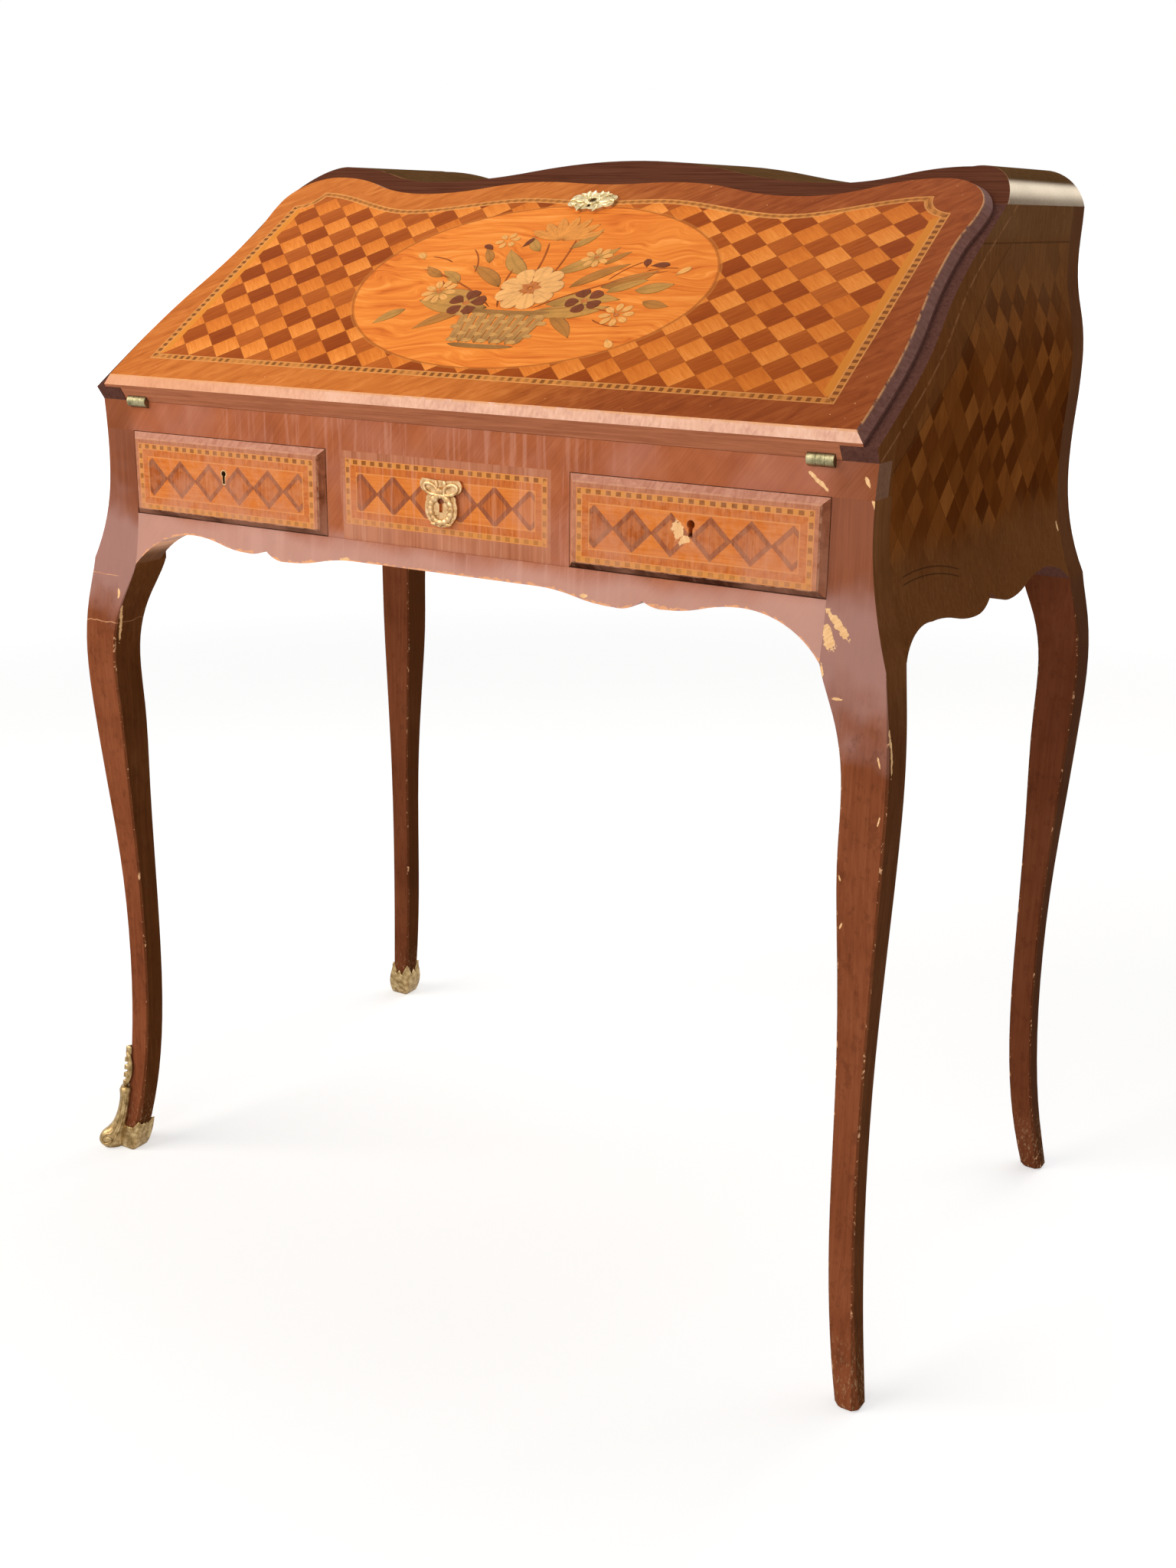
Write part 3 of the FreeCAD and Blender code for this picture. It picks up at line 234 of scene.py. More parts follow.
marquetry = {
    "stepX": 30.2, "stepV": 29.4, "startV": 22.7,
    "sideLine": 310.5, "lowLine": 31.0, "topInset": 25.0, "notch": (312.0, 281.0, 22.0),
    "oval": (0.0, 154.0, 161.0, 110.0), "check": 7.1,
    "topLine": [(0.0, 296.0), (62.0, 299.4), (180.0, 279.9), (290.0, 305.9)],
    "topSpan": (350, 250, 60), "topBand": (2.2, 3.6),  # span: width, lowest and range that the curve covers
    "light": shades((192, 98, 32), (216, 122, 46), (238, 150, 70), at=(0.25, 0.5, 0.75)),
    "dark": shades((130, 54, 14), (154, 72, 22), (186, 98, 38)),
    "ovalWood": shades(
        (178, 78, 26), (216, 116, 44), (230, 134, 54), (246, 158, 78), at=(0.3, 0.44, 0.58, 0.74),
    ),
    "bandLeft": shades((164, 82, 30), (196, 110, 46), (218, 136, 68), at=(0.28, 0.5, 0.74)),
    "bandRight": shades((110, 46, 18), (146, 72, 32), (178, 100, 52), at=(0.28, 0.5, 0.74)),
    "fillet": paint(226, 160, 92), "ebony": paint(84, 40, 16), "yellow": paint(216, 134, 50),
    "ovalRim": [(0.99, 1.004, 0.6, paint(150, 78, 30)), (1.004, 1.014, 0.4, paint(206, 130, 62))],
    "fillets": [(-0.2, 0.9, 0.7), (5.2, 6.3, 0.75)], "checkBand": (0.9, 5.2), "yellowBand": (6.3, 12.5),
    "checkPale": paint(202, 130, 62), "topString": paint(120, 60, 26), "shadow": paint(112, 50, 16),
    "lowLeft": paint(220, 148, 98), "rubbed": paint(222, 158, 104), "nick": paint(232, 176, 124),
    "lipEdge": shades((94, 58, 48), (130, 90, 80)),
    "litFootEdge": shades((140, 80, 54), (184, 116, 82)),
    "lowBevel": shades((186, 132, 116), (226, 176, 150), (240, 200, 178), at=(0.3, 0.52, 0.72)),
}


# Fall: x across, v up the slope and w out from it. The stringing follows d, the least distance to the side,
# foot, waved top and hollow corners of the panel.
def fallFinish():
    m = marquetry
    f = woodCoat("fallMarquetry")
    x, y, z = f.axes()
    v, w = slopeAxes(y, z)
    f.place = x, v, w
    side = abs(x)
    topLine = f.curve(side, m["topLine"], *m["topSpan"], "EASE")
    dTop, dSide, dLow = topLine - m["topInset"] - v, m["sideLine"] - side, v - m["lowLine"]
    notchX, notchV, notchR = m["notch"]
    dNotch = f.length(side - notchX, v - notchV) - notchR
    others = dTop.least(dLow).least(dNotch)
    d = others.least(dSide)
    bySide = (others - dSide).past(0.0, 1.0)
    byTop = (dLow.least(dSide) - dTop).past(0.0, 1.0)

    a, b = x / m["stepX"], (v - m["startV"]) / m["stepV"]
    pale, luck, rim, cellA, cellB = lozenges(f, a, b, 0.03)
    slant = (a - cellA) - (b - cellB)
    fall, climb = (x + v) * diagonal, (x - v) * diagonal
    paleGrain = grain(f, climb + luck * 300, fall, w, 30.0, 2.6, 1.4)
    darkGrain = grain(f, fall + luck * 300, climb, w, 34.0, 2.0, 0.8)
    paleTone = f.ramp(paleGrain * 0.8 + luck * 0.24 + slant * 0.16 - 0.02, m["light"])
    darkTone = f.ramp(darkGrain * 0.75 + luck * 0.34 - slant * 0.08 - 0.02, m["dark"])
    glue = abs(rim - 0.5).past(0.012, 0.018)
    f.tone = f.mix(pale, darkTone, paleTone)
    f.lay((1 - glue) * 0.3, m["ebony"])

    ovalX, ovalV, ovalA, ovalB = m["oval"]
    reach = f.length((x - ovalX) / ovalA, (v - ovalV) / ovalB)
    swirl = f.noise((x / 160, v / 90, 2.0), 2.0, 0.5, 0.8)
    figure = f.noise((x / 70 + swirl * 2.0, v / 6.5 + swirl * 11.0, 0.0), 4.0, 0.6, 0.7)
    fine = grain(f, x + swirl * 90, v + swirl * 40, w, 60.0, 1.6)
    ovalTone = f.ramp(figure * 0.85 + fine * 0.2 + f.cloud(75) * 0.2 - 0.1, m["ovalWood"])
    inOval = 1 - reach.past(1.0, 0.004)
    f.lay(inOval, ovalTone)
    for near, far, share, colour in m["ovalRim"]:
        f.lay(reach.within(near, far, 0.006) * share, colour)

    bandGrain = grain(f, fall * 1.1 + f.cloud(60) * 30, climb, w, 60.0, 3.0, 1.2)
    bandFigure = bandGrain * 0.6 + f.noise((fall / 34, climb / 12, w), 3.0, 0.6, 1.4) * 0.5 - 0.05
    # The crossbanding darkens from left to right, partly its own change of tone and partly painted shade.
    toneAndShadeToRight = (x + f.cloud(110) * 220 - 110 + v * 0.2).past(60.0, 260.0)
    bandTone = f.mix(toneAndShadeToRight, f.ramp(bandFigure, m["bandLeft"]), f.ramp(bandFigure, m["bandRight"]))
    f.lay(1 - d.past(0.0, 0.3), bandTone)
    along = x + (v - x) * bySide
    dark = abs((along / m["check"]).fract() - 0.5).past(0.25, 0.06)
    broken = f.cloud(22).past(0.42, 0.2)
    clear = bySide * 0.6 + broken * (1 - bySide) * (1 - byTop * 0.6) * 0.6 + 0.15
    f.lay(d.within(*m["checkBand"], 0.4), f.mix(dark * clear, m["checkPale"], m["ebony"]))
    for near, far, share in m["fillets"]:
        f.lay(d.within(near, far, 0.4) * share, m["fillet"])
    f.lay(d.within(*m["yellowBand"], 0.4) * bySide * (1 - inOval), m["yellow"])
    f.lay(d.within(*m["topBand"], 0.4) * byTop * 0.5, m["topString"])

    # Painted shade: the whole fall darkens towards the right.
    shade = (x + f.cloud(90) * 120 - 60 - v * 0.3).past(150.0, 330.0)
    f.lay(shade * 0.3, m["shadow"])
    # The lip's bevels and edges take their tone by the way they face, as painted light and shade on one
    # crossbanding: the bevel facing down the slope is pale, partly painted sheen and partly pale wear, and
    # warmer towards the left end; the bevels facing aside are darker, as painted shade.
    ny, nz = f.split("Normal")[1:]
    nw, nv = nz * slopeCos - ny * slopeSin, ny * slopeCos + nz * slopeSin
    bevel = nw.within(0.3, 0.9, 0.1)
    stripes = grain(f, v * bySide + x * (1 - bySide), w * 2, x - v, 3.0, 9.0, 0.4)
    edgeTone = f.ramp(stripes, m["lipEdge"])
    lowTone = f.ramp(stripes * 0.6 + f.cloud(40, x, y, z) * 0.4, m["lowBevel"])
    lowTone = f.mix((1 - x.past(-150.0, 320.0)) * 0.6, lowTone, m["lowLeft"])
    below = (0 - nv).past(0.4, 0.1)
    f.lay(bevel, f.mix(below, edgeTone, lowTone))
    rimGrain = grain(f, x, v, w)
    # Painted light: the lip's front edge, facing down the slope, is lighter than its side edges.
    foot = f.mix(below, f.ramp(rimGrain, m["lipEdge"]), f.ramp(rimGrain, m["litFootEdge"]))
    foot = f.mix((0 - nw).past(0.5, 0.2), foot, f.ramp(grain(f, x, v, w, 110.0, 2.6), inner["warm"]))
    f.lay(1 - nw.past(0.25, 0.1), foot)
    rub = f.noise((x / 9, v / 9, w / 9), 3.0, 0.6)
    worn = bevel * w.past(desk["lipTop"] - 1.0, 1.0) * rub.past(0.42, 0.2)
    f.lay(worn * 0.8, m["rubbed"])
    nicks = f.noise((x / 3.2, v / 3.2, 4.0), 3.0, 0.6).past(0.72, 0.04)
    f.lay(nicks * (1 - d.past(-8.0, 4.0)) * 0.8, m["nick"])
    scratch = f.noise((x / 40, v / 2.5, 0.0), 5.0, 0.7)
    return f.done(f.cloud(35) * 0.6 + bandGrain * 0.4, 0.3, 0.54, (1 - glue) * 0.5 + scratch, 0.25, 0.0002)


front = {
    "outer": shades((138, 72, 42), (162, 90, 56), (184, 112, 76)),
    "edge": [  # lower edge of the apron: x and z
        (0, 599.3), (80, 599.3), (100, 598.6), (120, 595.4), (140, 592.2), (160, 591.4),
        (180, 597.1), (200, 594.7), (220, 597.3), (240, 601.8), (260, 602.9), (275, 600.8), (290, 595.6),
        (300, 590.2), (310, 582.8), (318, 574.8),
    ],
    "edgeSpan": (320, 570, 40), "stile": (318.0, 22.0), "drip": paint(206, 150, 128),
    "haze": paint(180, 124, 108), "sheen": paint(204, 164, 152), "rubbed": paint(226, 162, 116),
    "chips": [
        (305.0, 698.5, 2.4, 2.6, 0.9), (310.5, 694.0, 2.6, 5.0, 1.1), (344.5, 697.0, 1.6, 4.5, 0.5),
        (128.4, 597.0, 4.0, 1.8, 0.0), (-94.8, 600.0, 5.0, 1.8, 0.0),
    ],
}


# Front frame: veneer with slanting grain, drips of milky old polish, bare patches and a rubbed lower edge.
def frontFinish():
    f = woodCoat("frontVeneer")
    x, y, z = f.axes()
    lean = z * 0.78 + abs(x) * 0.62
    streaks = grain(f, lean, x * 0.78 - z * 0.62, y, 60.0, 3.4, 1.4)
    f.tone = f.ramp(streaks * 0.55 + f.cloud(26) * 0.45, front["outer"])
    stile = f.ramp(streaks * 0.6 + f.cloud(60) * 0.4, legs["face"])
    f.lay(abs(x).past(*front["stile"]) * 0.9, stile)
    haze = f.cloud(55).past(0.54, 0.3)
    drips = f.noise((x / 5, z / 110, 1.7), 3.0, 0.6).past(0.58, 0.16)
    drips = drips * (1 - abs(x + 40).past(190.0, 160.0))
    f.lay(haze * 0.35, front["haze"])
    f.lay(drips * 0.3, front["drip"])
    # Painted sheen: a pale reflection along the lower part of the apron.
    low = 1 - (z + f.cloud(40) * 24 - 12 - abs(x - 90) * 0.03).past(611.0, 22.0)
    f.lay(low * 0.55, front["sheen"])
    nx, ny = f.split("Normal")[:2]
    rub = f.noise((x / 6, y / 6, z / 6), 3.0, 0.6)
    above = z - f.curve(abs(x), front["edge"], *front["edgeSpan"])
    edge = 1 - (above + rub * 7 - 3.5).past(1.2, 0.8)
    edge = edge * f.noise((x / 12, z / 12, 3.0), 3.0, 0.6).past(0.46, 0.1)
    f.lay(edge * 0.9, front["rubbed"])
    f.lay(abs(nx).past(0.6, 0.2), f.ramp(streaks, sides["plain"]))
    torn = chips(f, x, z, front["chips"]) * (0 - ny).past(0.3, 0.2)
    f.lay(torn, f.ramp(grain(f, lean, x, y, 14.0, 1.4), bareWood))
    return f.done(f.cloud(35), 0.3, 0.5, streaks * 0.25 - torn * 1.2 + 1.2, 0.35, 0.0004)


panel = {
    "ground": shades((176, 86, 32), (204, 112, 46), (222, 138, 68), at=(0.28, 0.5, 0.75)),
    "lozenge": shades((148, 72, 34), (180, 96, 46), (202, 120, 64), at=(0.28, 0.5, 0.75)),
    "strap": shades((118, 60, 34), (146, 80, 50), (164, 98, 66), at=(0.28, 0.5, 0.75)),
    "frame": shades((164, 80, 34), (192, 104, 48), (210, 126, 66), at=(0.28, 0.5, 0.75)),
    "margin": shades((150, 86, 58), (190, 124, 92)), "upper": shades((168, 106, 84), (214, 160, 136)),
    "flank": shades((104, 52, 30), (166, 98, 66)), "under": shades((48, 22, 12), (86, 46, 30)),
    "fillet": paint(218, 146, 82), "checkDark": paint(124, 66, 30), "checkPale": paint(206, 136, 66),
    "check": 8.4, "pitch": 31.5, "half": 15.0, "haze": paint(196, 138, 112),
    "rubbed": paint(214, 158, 122), "drip": paint(222, 166, 138),
    "fillets": [(4.2, 5.0), (0.0, 0.8)], "checkBand": (0.8, 4.2),
    "drawer": (649.0, 94.0, 27.4), "centre": (654.0, 94.0, 25.6),  # middle's height, half width, half height
    "chips": {"right_drawer_front": [(206.0, 653.0, 5.0, 8.5, 0.1), (211.5, 646.5, 5.0, 3.6, -0.3)]},
}


# Drawer and centre panels: d is the distance in from the stringing's outer line, and a row of lozenges
# |s|/pitch + |t|/height < 1/2 lies on the ground inside it, each with a strap round it.
def panelFinish(node):
    p = panel
    f = woodCoat(node + "_finish")
    x, y, z = f.axes()
    low, high = boxMm(node)
    proud = node != "centre_panel"
    level, wide, tall = p["drawer"] if proud else p["centre"]
    s, t = x - (low[0] + high[0]) / 2, z - level
    dSide, dEnd = wide - abs(s), tall - abs(t)
    d = dSide.least(dEnd)
    bySide = (dEnd - dSide).past(0.0, 1.0)
    pitch = p["pitch"]
    off = abs((s / pitch).fract() - 0.5)
    reach = off * 2 + abs(t) / p["half"]
    within = 1 - (abs(s) / (pitch * 3)).past(0.995, 0.004)
    luck = f.dice(((s / pitch).floor(), 0.5, 0.5)) * 0.3 - 0.15
    upright = grain(f, z, x, y, 40.0, 1.8, 0.7)
    sideways = grain(f, x, z, y, 46.0, 2.0, 0.9)
    f.tone = f.ramp(sideways * 0.7 + f.cloud(30) * 0.3 + (0.0 if proud else 0.07), p["ground"])
    f.lay((1 - reach.past(1.06, 0.03)) * within, f.ramp(upright + luck * 0.4, p["strap"]))
    f.lay((1 - reach.past(0.72, 0.04)) * within, f.ramp(upright + luck, p["lozenge"]))
    along = s + (t - s) * bySide
    crossed = grain(f, d, along, y, 20.0, 2.4, 0.5)
    f.lay(1 - d.past(10.5, 0.4), f.ramp(crossed, p["frame"]))
    f.lay(d.within(10.3, 11.3, 0.4) * 0.6, p["fillet"])
    dark = abs((along / p["check"]).fract() - 0.5).past(0.25, 0.05)
    clear = (t + tall) / (tall * 2) * 0.45 + f.cloud(18) * 0.6 + 0.1
    f.lay(d.within(*p["checkBand"], 0.4), f.mix(dark * clear, p["checkPale"], p["checkDark"]))
    for near, far in p["fillets"]:
        f.lay(d.within(near, far, 0.4) * 0.7, p["fillet"])
    rough = grain(f, along, x, y, 8.0, 6.0, 0.8)
    margin = f.ramp(rough, p["margin"])
    # On the proud drawer fronts the margin takes its tone by the way it faces: the upper bevel is paler,
    # painted light, and the right-hand bevel and the underside are darker, painted shade.
    nx, nz = f.split("Normal")[::2]
    for facing, key in ((nx, "flank"), (nz, "upper"), (0 - nz, "under")):
        margin = f.mix(facing.past(0.2, 0.1) * proud, margin, f.ramp(rough, p[key]))
    f.lay(1 - d.past(0.0, 0.3), margin)
    rub = f.noise((x / 7, z / 7, y / 7), 3.0, 0.6)
    if proud:
        rimWear = y.within(low[1] + 0.1, low[1] + 1.2, 0.6) * rub.past(0.48, 0.2)
        f.lay(rimWear * 0.6, p["rubbed"])
    haze = f.cloud(45).past(0.52, 0.3) * (1 - (t / tall).past(0.2, 1.6) * 0.7)
    f.lay(haze * 0.4, p["haze"])
    drips = f.noise((x / 4, z / 90, 1.7), 3.0, 0.6).past(0.6, 0.14)
    f.lay(drips * (0.07 if proud else 0.2), p["drip"])
    if node in p["chips"]:
        torn = chips(f, x, z, p["chips"][node])
        f.lay(torn, f.ramp(grain(f, z, x, y, 14.0, 1.4), bareWood))
    return f.done(f.cloud(30), 0.3, 0.5, upright, 0.12, 0.0002)


legs = {
    "face": shades((96, 48, 28), (128, 70, 43), (152, 90, 60)),
    "flank": shades((70, 38, 16), (93, 53, 26), (115, 73, 42)),
    "rub": shades((186, 118, 78), (232, 180, 134)),
    "sheen": paint(176, 136, 128), "rearShade": paint(62, 32, 18), "scuff": paint(74, 38, 22),
    "sole": paint(166, 132, 98), "foreEdge": -185.0, "knee": (542.0, 622.0), "post": 640.0, "skirt": 560.0,
    "cracks": [(523.0, 523.8, 12, 0.0, 7), (563.5, 564.2, 10, 4.0, 6)],  # z to z, noise size, seed, sway
    "chips": [
        (330.0, 600.5, 5.0, 10.5, 0.88), (323.3, 591.0, 5.0, 9.0, 0.35), (321.8, 569.0, 1.4, 5.0, 0.2),
        (335.0, 551.0, 4.5, 1.0, 0.0), (370.6, 512.3, 0.9, 4.0, 0.3), (373.0, 471.0, 0.7, 3.4, -0.2),
        (349.5, 684.0, 1.4, 5.0, 0.4), (345.8, 424.3, 0.9, 2.6, 0.3), (347.5, 388.1, 0.9, 2.4, -0.3),
        (-338.0, 546.0, 1.6, 5.0, 0.0),
    ],
    "flankChips": [(-222.0, 516.0, 1.8, 15.0, 0.0), (-223.5, 530.0, 1.2, 7.0, 0.0)],
}


# Legs: grain runs down the leg. Flanks are browner than fronts, the front legs' knees carry a cool painted
# sheen, the rear legs a painted shade, and the arrises, where the normal looks between two faces, are nicked
# through to bare wood.
def legFinish():
    f = woodCoat("legWood", 0.4, 0.001)
    x, y, z = f.axes()
    streaks = grain(f, z, x, y, 120.0, 3.0, 0.8)
    figure = streaks * 0.6 + f.cloud(60) * 0.4
    nx, ny = f.split("Normal")[:2]
    flank = abs(nx).past(0.72, 0.2)
    outer = f.mix(z.past(legs["skirt"], 60.0), f.ramp(figure, legs["flank"]), f.ramp(figure, sides["plain"]))
    f.tone = f.mix(flank, f.ramp(figure, legs["face"]), outer)
    # Painted sheen on the fronts of the front legs, strongest at the knee and faint above it.
    ahead = (0 - ny).past(0.6, 0.3)
    fore = 1 - y.past(legs["foreEdge"], 6.0)
    height = z + f.cloud(45) * 120 - 60
    sheen = height.within(*legs["knee"], 56.0) * 0.62 + height.past(legs["post"], 60.0) * 0.08
    f.lay(sheen * ahead * fore, legs["sheen"])
    # Painted shade: the rear legs are darker.
    f.lay(y.past(150.0, 40.0) * 0.4, legs["rearShade"])
    arris = abs(nx * ny).past(0.34, 0.12)
    rub = f.noise((x / 5, y / 5, z / 9), 4.0, 0.62)
    worn = arris * rub.past(0.63, 0.05) * f.noise((x / 40, y / 40, z / 40), 2.0).past(0.45, 0.1)
    worn = worn.most(arris * f.noise((x / 2.4, y / 2.4, z / 3), 3.0, 0.6).past(0.66, 0.04) * 0.8)
    scuffs = f.noise((x / 7, y / 7, z / 12), 4.0, 0.7).past(0.58, 0.14)
    f.lay(scuffs * (1 - z.past(540.0, 80.0)) * 0.3, legs["scuff"])
    sole = (1 - z.past(46.0, 60.0)) * f.noise((x / 2, y / 2, z / 5), 4.0, 0.7).past(0.58, 0.08)
    f.lay(sole * 0.6, legs["sole"])
    lines = [
        (z + f.noise((x / size, y / size, seed), 2.0) * sway).within(low, high, 0.6)
        for low, high, size, seed, sway in legs["cracks"]
    ]
    cracks = lines[0].most(lines[1]) * (1 - x.past(-340.0, 4.0)) * (1 - y.past(-190.0, 4.0))
    torn = chips(f, x, z, legs["chips"]) * ahead * fore
    torn = torn.most(chips(f, y, z, legs["flankChips"]) * nx.past(0.6, 0.2))
    bare = worn.most(cracks * 0.7)
    f.lay(bare, f.ramp(rub, legs["rub"]))
    f.lay(torn, f.ramp(grain(f, z + x, x - z, y, 14.0, 1.6), bareWood))
    return f.done(f.cloud(28), 0.3, 0.52, streaks * 0.3 - bare * 0.5 - torn * 1.2 + 1.2, 0.3, 0.0004)


sides = {
    "stepY": 30.4, "stepZ": 29.4, "startY": 13.7, "startZ": 23.9,
    "light": shades((92, 46, 14), (110, 59, 20), (138, 82, 36)),
    "dark": shades((78, 37, 12), (95, 48, 16), (118, 66, 26)),
    "olive": shades((92, 58, 32), (114, 76, 46), (136, 98, 62)),
    "plain": shades((84, 48, 22), (108, 65, 33), (130, 86, 50)),
    "edge": shades((70, 42, 36), (104, 68, 58)), "chips": [(176.0, 618.0, 2.0, 5.0, 0.4)],
    "cut": paint(48, 28, 16), "rubbed": paint(176, 122, 84), "scar": paint(170, 124, 84),
    "skirt": 640.0, "seam": 846.0, "slopeSeam": -22.0, "fieldY": (-186.0, 190.0), "fade": (800.0, 110.0),
    "wave": (-112.0, 55.0, 614.0, -0.09, -5.0), "waveY": (-162.0, -57.0),  # z = level + tilt y + curl s^2
}


# Sides: the lozenge net on y and z above the skirt, faded towards the shoulder, with plain veneer round it.
def sideFinish():
    s = sides
    f = woodCoat("sideParquetry", 0.4, 0.0)
    x, y, z = f.axes()
    a, b = (y - s["startY"]) / s["stepY"], (z - s["startZ"]) / s["stepZ"]
    pale, luck = lozenges(f, a, b, 0.04)[:2]
    streaks = grain(f, z + luck * 200, y, x, 50.0, 2.2, 0.8)
    figure = streaks * 0.6 + luck * 0.5 - 0.05
    patch = f.cloud(50).past(0.45, 0.3) * 0.75 + 0.2
    f.tone = f.mix(pale * patch, f.ramp(figure, s["dark"]), f.ramp(figure, s["light"]))
    olive = f.ramp(streaks * 0.75 + f.cloud(60) * 0.25, s["olive"])
    f.lay((z + f.cloud(70) * 60 - 30).past(*s["fade"]) * 0.78, olive)
    plain = f.ramp(streaks * 0.75 + f.cloud(80) * 0.25, s["plain"])
    slopeLine = slopeAxes(y, z)[1]
    field = (z + f.cloud(30) * 40 - 20).past(s["skirt"], 40.0) * y.within(*s["fieldY"], 0.6)
    f.tone = f.mix(field, plain, f.tone)
    seam, slopeSeam = s["seam"], s["slopeSeam"]
    upper = z.past(seam, 0.6).most(slopeLine.past(slopeSeam, 8.0) * 0.6)
    f.lay(upper, f.mix(z.past(seam, 30.0), plain, olive))
    line = z.within(seam, seam + 1.2, 0.6).most(slopeLine.within(slopeSeam, slopeSeam + 1.2, 0.6))
    line = line * (1 - z.past(seam + 4.0, 2.0))
    f.lay(line * 0.4, s["cut"])
    start, span, level, tilt, curl = s["wave"]
    share = (y - start) / span
    incised = abs(z - level - y * tilt - share * share * curl).within(2.2, 3.2, 0.5)
    incised = incised * y.within(*s["waveY"], 6.0)
    f.lay(incised * 0.6, s["cut"])
    ny = f.split("Normal")[1]
    f.lay((0 - ny).past(0.35, 0.2), f.ramp(streaks, s["edge"]))
    worn = slopeLine.within(-1.6, 0.4, 0.8) * f.noise((y / 8, z / 8, 0.0), 3.0).past(0.45, 0.2)
    f.lay(worn * 0.35, s["rubbed"])
    scars = f.noise((y / 2.0, z / 14, 0.0), 3.0, 0.6).past(0.73, 0.03)
    f.lay(scars * (1 - z.past(s["skirt"], 40.0)) * 0.6, s["scar"])
    torn = chips(f, y, z, s["chips"])
    f.lay(torn, f.ramp(streaks, bareWood))
    return f.done(f.cloud(40), 0.26, 0.44, streaks * 0.3 - incised - torn + 1.0, 0.3, 0.0004)


tops = {
    "wood": shades((64, 42, 22), (90, 62, 36), (116, 86, 54)),
    "sawn": shades((70, 36, 24), (108, 64, 46)), "rubbed": paint(176, 128, 86),
    "shoulder": (0.74, 0.93, 0.16), "rim": 10.8,
}


# Top board: dark veneer with grain across the desk. Its sawn front slope is redder, and the rounded ends,
# where the normal turns from up to aside, keep some polish.
def topFinish():
    f = woodCoat("topVeneer", 0.4, 0.0)
    x, y, z = f.axes()
    streaks = grain(f, x, y, z, 110.0, 2.4, 0.8)
    f.tone = f.ramp(streaks * 0.75 + f.cloud(90) * 0.25, tops["wood"])
    nx, ny = f.split("Normal")[:2]
    slope = (0 - ny).within(slopeSin - 0.12, slopeSin + 0.12, 0.04) * (1 - abs(nx).past(0.1, 0.05))
    f.lay(slope, f.ramp(streaks, tops["sawn"]))
    rub = f.noise((x / 10, y / 10, z / 10), 3.0, 0.6)
    edge = slopeAxes(y, z)[1]
    f.lay(edge.past(tops["rim"], 0.8) * rub.past(0.5, 0.2) * (1 - slope) * 0.5, tops["rubbed"])
    f.feed("Coat Weight", abs(nx).within(*tops["shoulder"]) * (f.cloud(50) * 0.24 + 0.5))
    return f.done(f.cloud(35), 0.26, 0.44, streaks, 0.12, 0.0003)


inner = {
    "warm": shades((120, 76, 44), (154, 104, 64), (184, 136, 92)),
    "ashen": shades((138, 100, 62), (170, 130, 86), (196, 160, 114)),
    "rear": shades((84, 56, 36), (112, 78, 52), (138, 102, 72)),
    "stain": paint(82, 52, 32),
}


# Inner wood, bare or lightly waxed, with grain along the named axis.
def plainFinish(name, wood, turn, rough=0.5):
    f = woodCoat(name, rough)
    x, y, z = f.axes()
    streaks = grain(f, *{"x": (x, y, z), "y": (y, x, z), "z": (z, x, y)}[turn], 90.0, 2.6, 0.7)
    f.tone = f.ramp(streaks * 0.75 + f.cloud(80) * 0.25, inner[wood])
    f.lay(f.cloud(26).past(0.62, 0.2) * 0.25, inner["stain"])
    return f.done(streaks, rough - 0.06, rough + 0.16, streaks, 0.15, 0.0003)


castSpread = (0.28, 0.46, 0.7)
brass = {
    "aged": shades((128, 92, 54), (192, 152, 104), (232, 202, 158), at=castSpread),
    "old": shades((90, 70, 40), (156, 128, 84), (216, 190, 142), at=castSpread),
    "pale": shades((120, 102, 66), (206, 184, 136), (244, 230, 192), at=castSpread),
    "dull": shades((84, 78, 56), (134, 126, 94), (182, 172, 134), at=castSpread),
}


# Cast mounts: gold left on the high places, brown in the hollows.
def brassFinish(name, metal, rough=0.36):
    f = Finish(name, **{"Metallic": 1.0, "Roughness": rough})
    x, y, z = f.axes()
    worn = f.cloud(5) * 0.6 + f.noise((x / 0.9, y / 0.9, z / 0.9), 3.0, 0.6) * 0.4
    f.tone = f.ramp(worn, brass[metal])
    return f.done(1 - worn, rough - 0.16, rough + 0.24, worn, 0.25, 0.0002)


steel = {"bare": shades((48, 45, 42), (98, 94, 88)), "rust": paint(46, 32, 24)}


def steelFinish():
    f = Finish("lockSteel", **{"Metallic": 1.0, "Roughness": 0.42})
    x, y, z = f.axes()
    brush = f.noise((x / 30, y / 30, z / 0.6), 3.0, 0.6)
    f.tone = f.ramp(brush, steel["bare"])
    f.lay(f.cloud(9).past(0.62, 0.2) * 0.5, steel["rust"])
    return f.done(brush, 0.28, 0.58, brush, 0.15, 0.0001)


leather = {
    "hide": shades((70, 28, 20), (112, 50, 36), at=(0.25, 0.7)), "gilt": paint(196, 152, 78),
    "lines": [(8.0, 9.2), (11.0, 11.6)], "pebble": 1.3,
}


# Writing leather: pebbled hide with a double gilt line a little in from its edge.
def leatherFinish():
    f = Finish("tooledLeather", **{"Roughness": 0.5, "Specular IOR Level": 0.4})
    x, y, z = f.axes()
    low, high = boxMm("writing_leather")
    v = slopeAxes(y, z)[0]
    ends = [slopeAxes(*corner[1:])[0] for corner in (low, high)]
    inset = (high[0] - abs(x)).least((ends[1] - ends[0]) / 2 - abs(v - sum(ends) / 2))
    cells = f.point(x / leather["pebble"], v / leather["pebble"])
    pebble = f.node("ShaderNodeTexVoronoi", {"feature": "F1"}, {"Vector": cells, "Scale": 1.0})
    f.tone = f.ramp(f.cloud(40) * 0.6 + pebble * 0.3, leather["hide"])
    outer, second = (inset.within(*line, 0.3) for line in leather["lines"])
    f.lay(outer.most(second) * 0.85, leather["gilt"])
    return f.done(pebble, 0.36, 0.61, pebble, 0.3, 0.0003)


def boxMm(node):
    return [[part * 1000 for part in corner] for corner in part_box(node)]


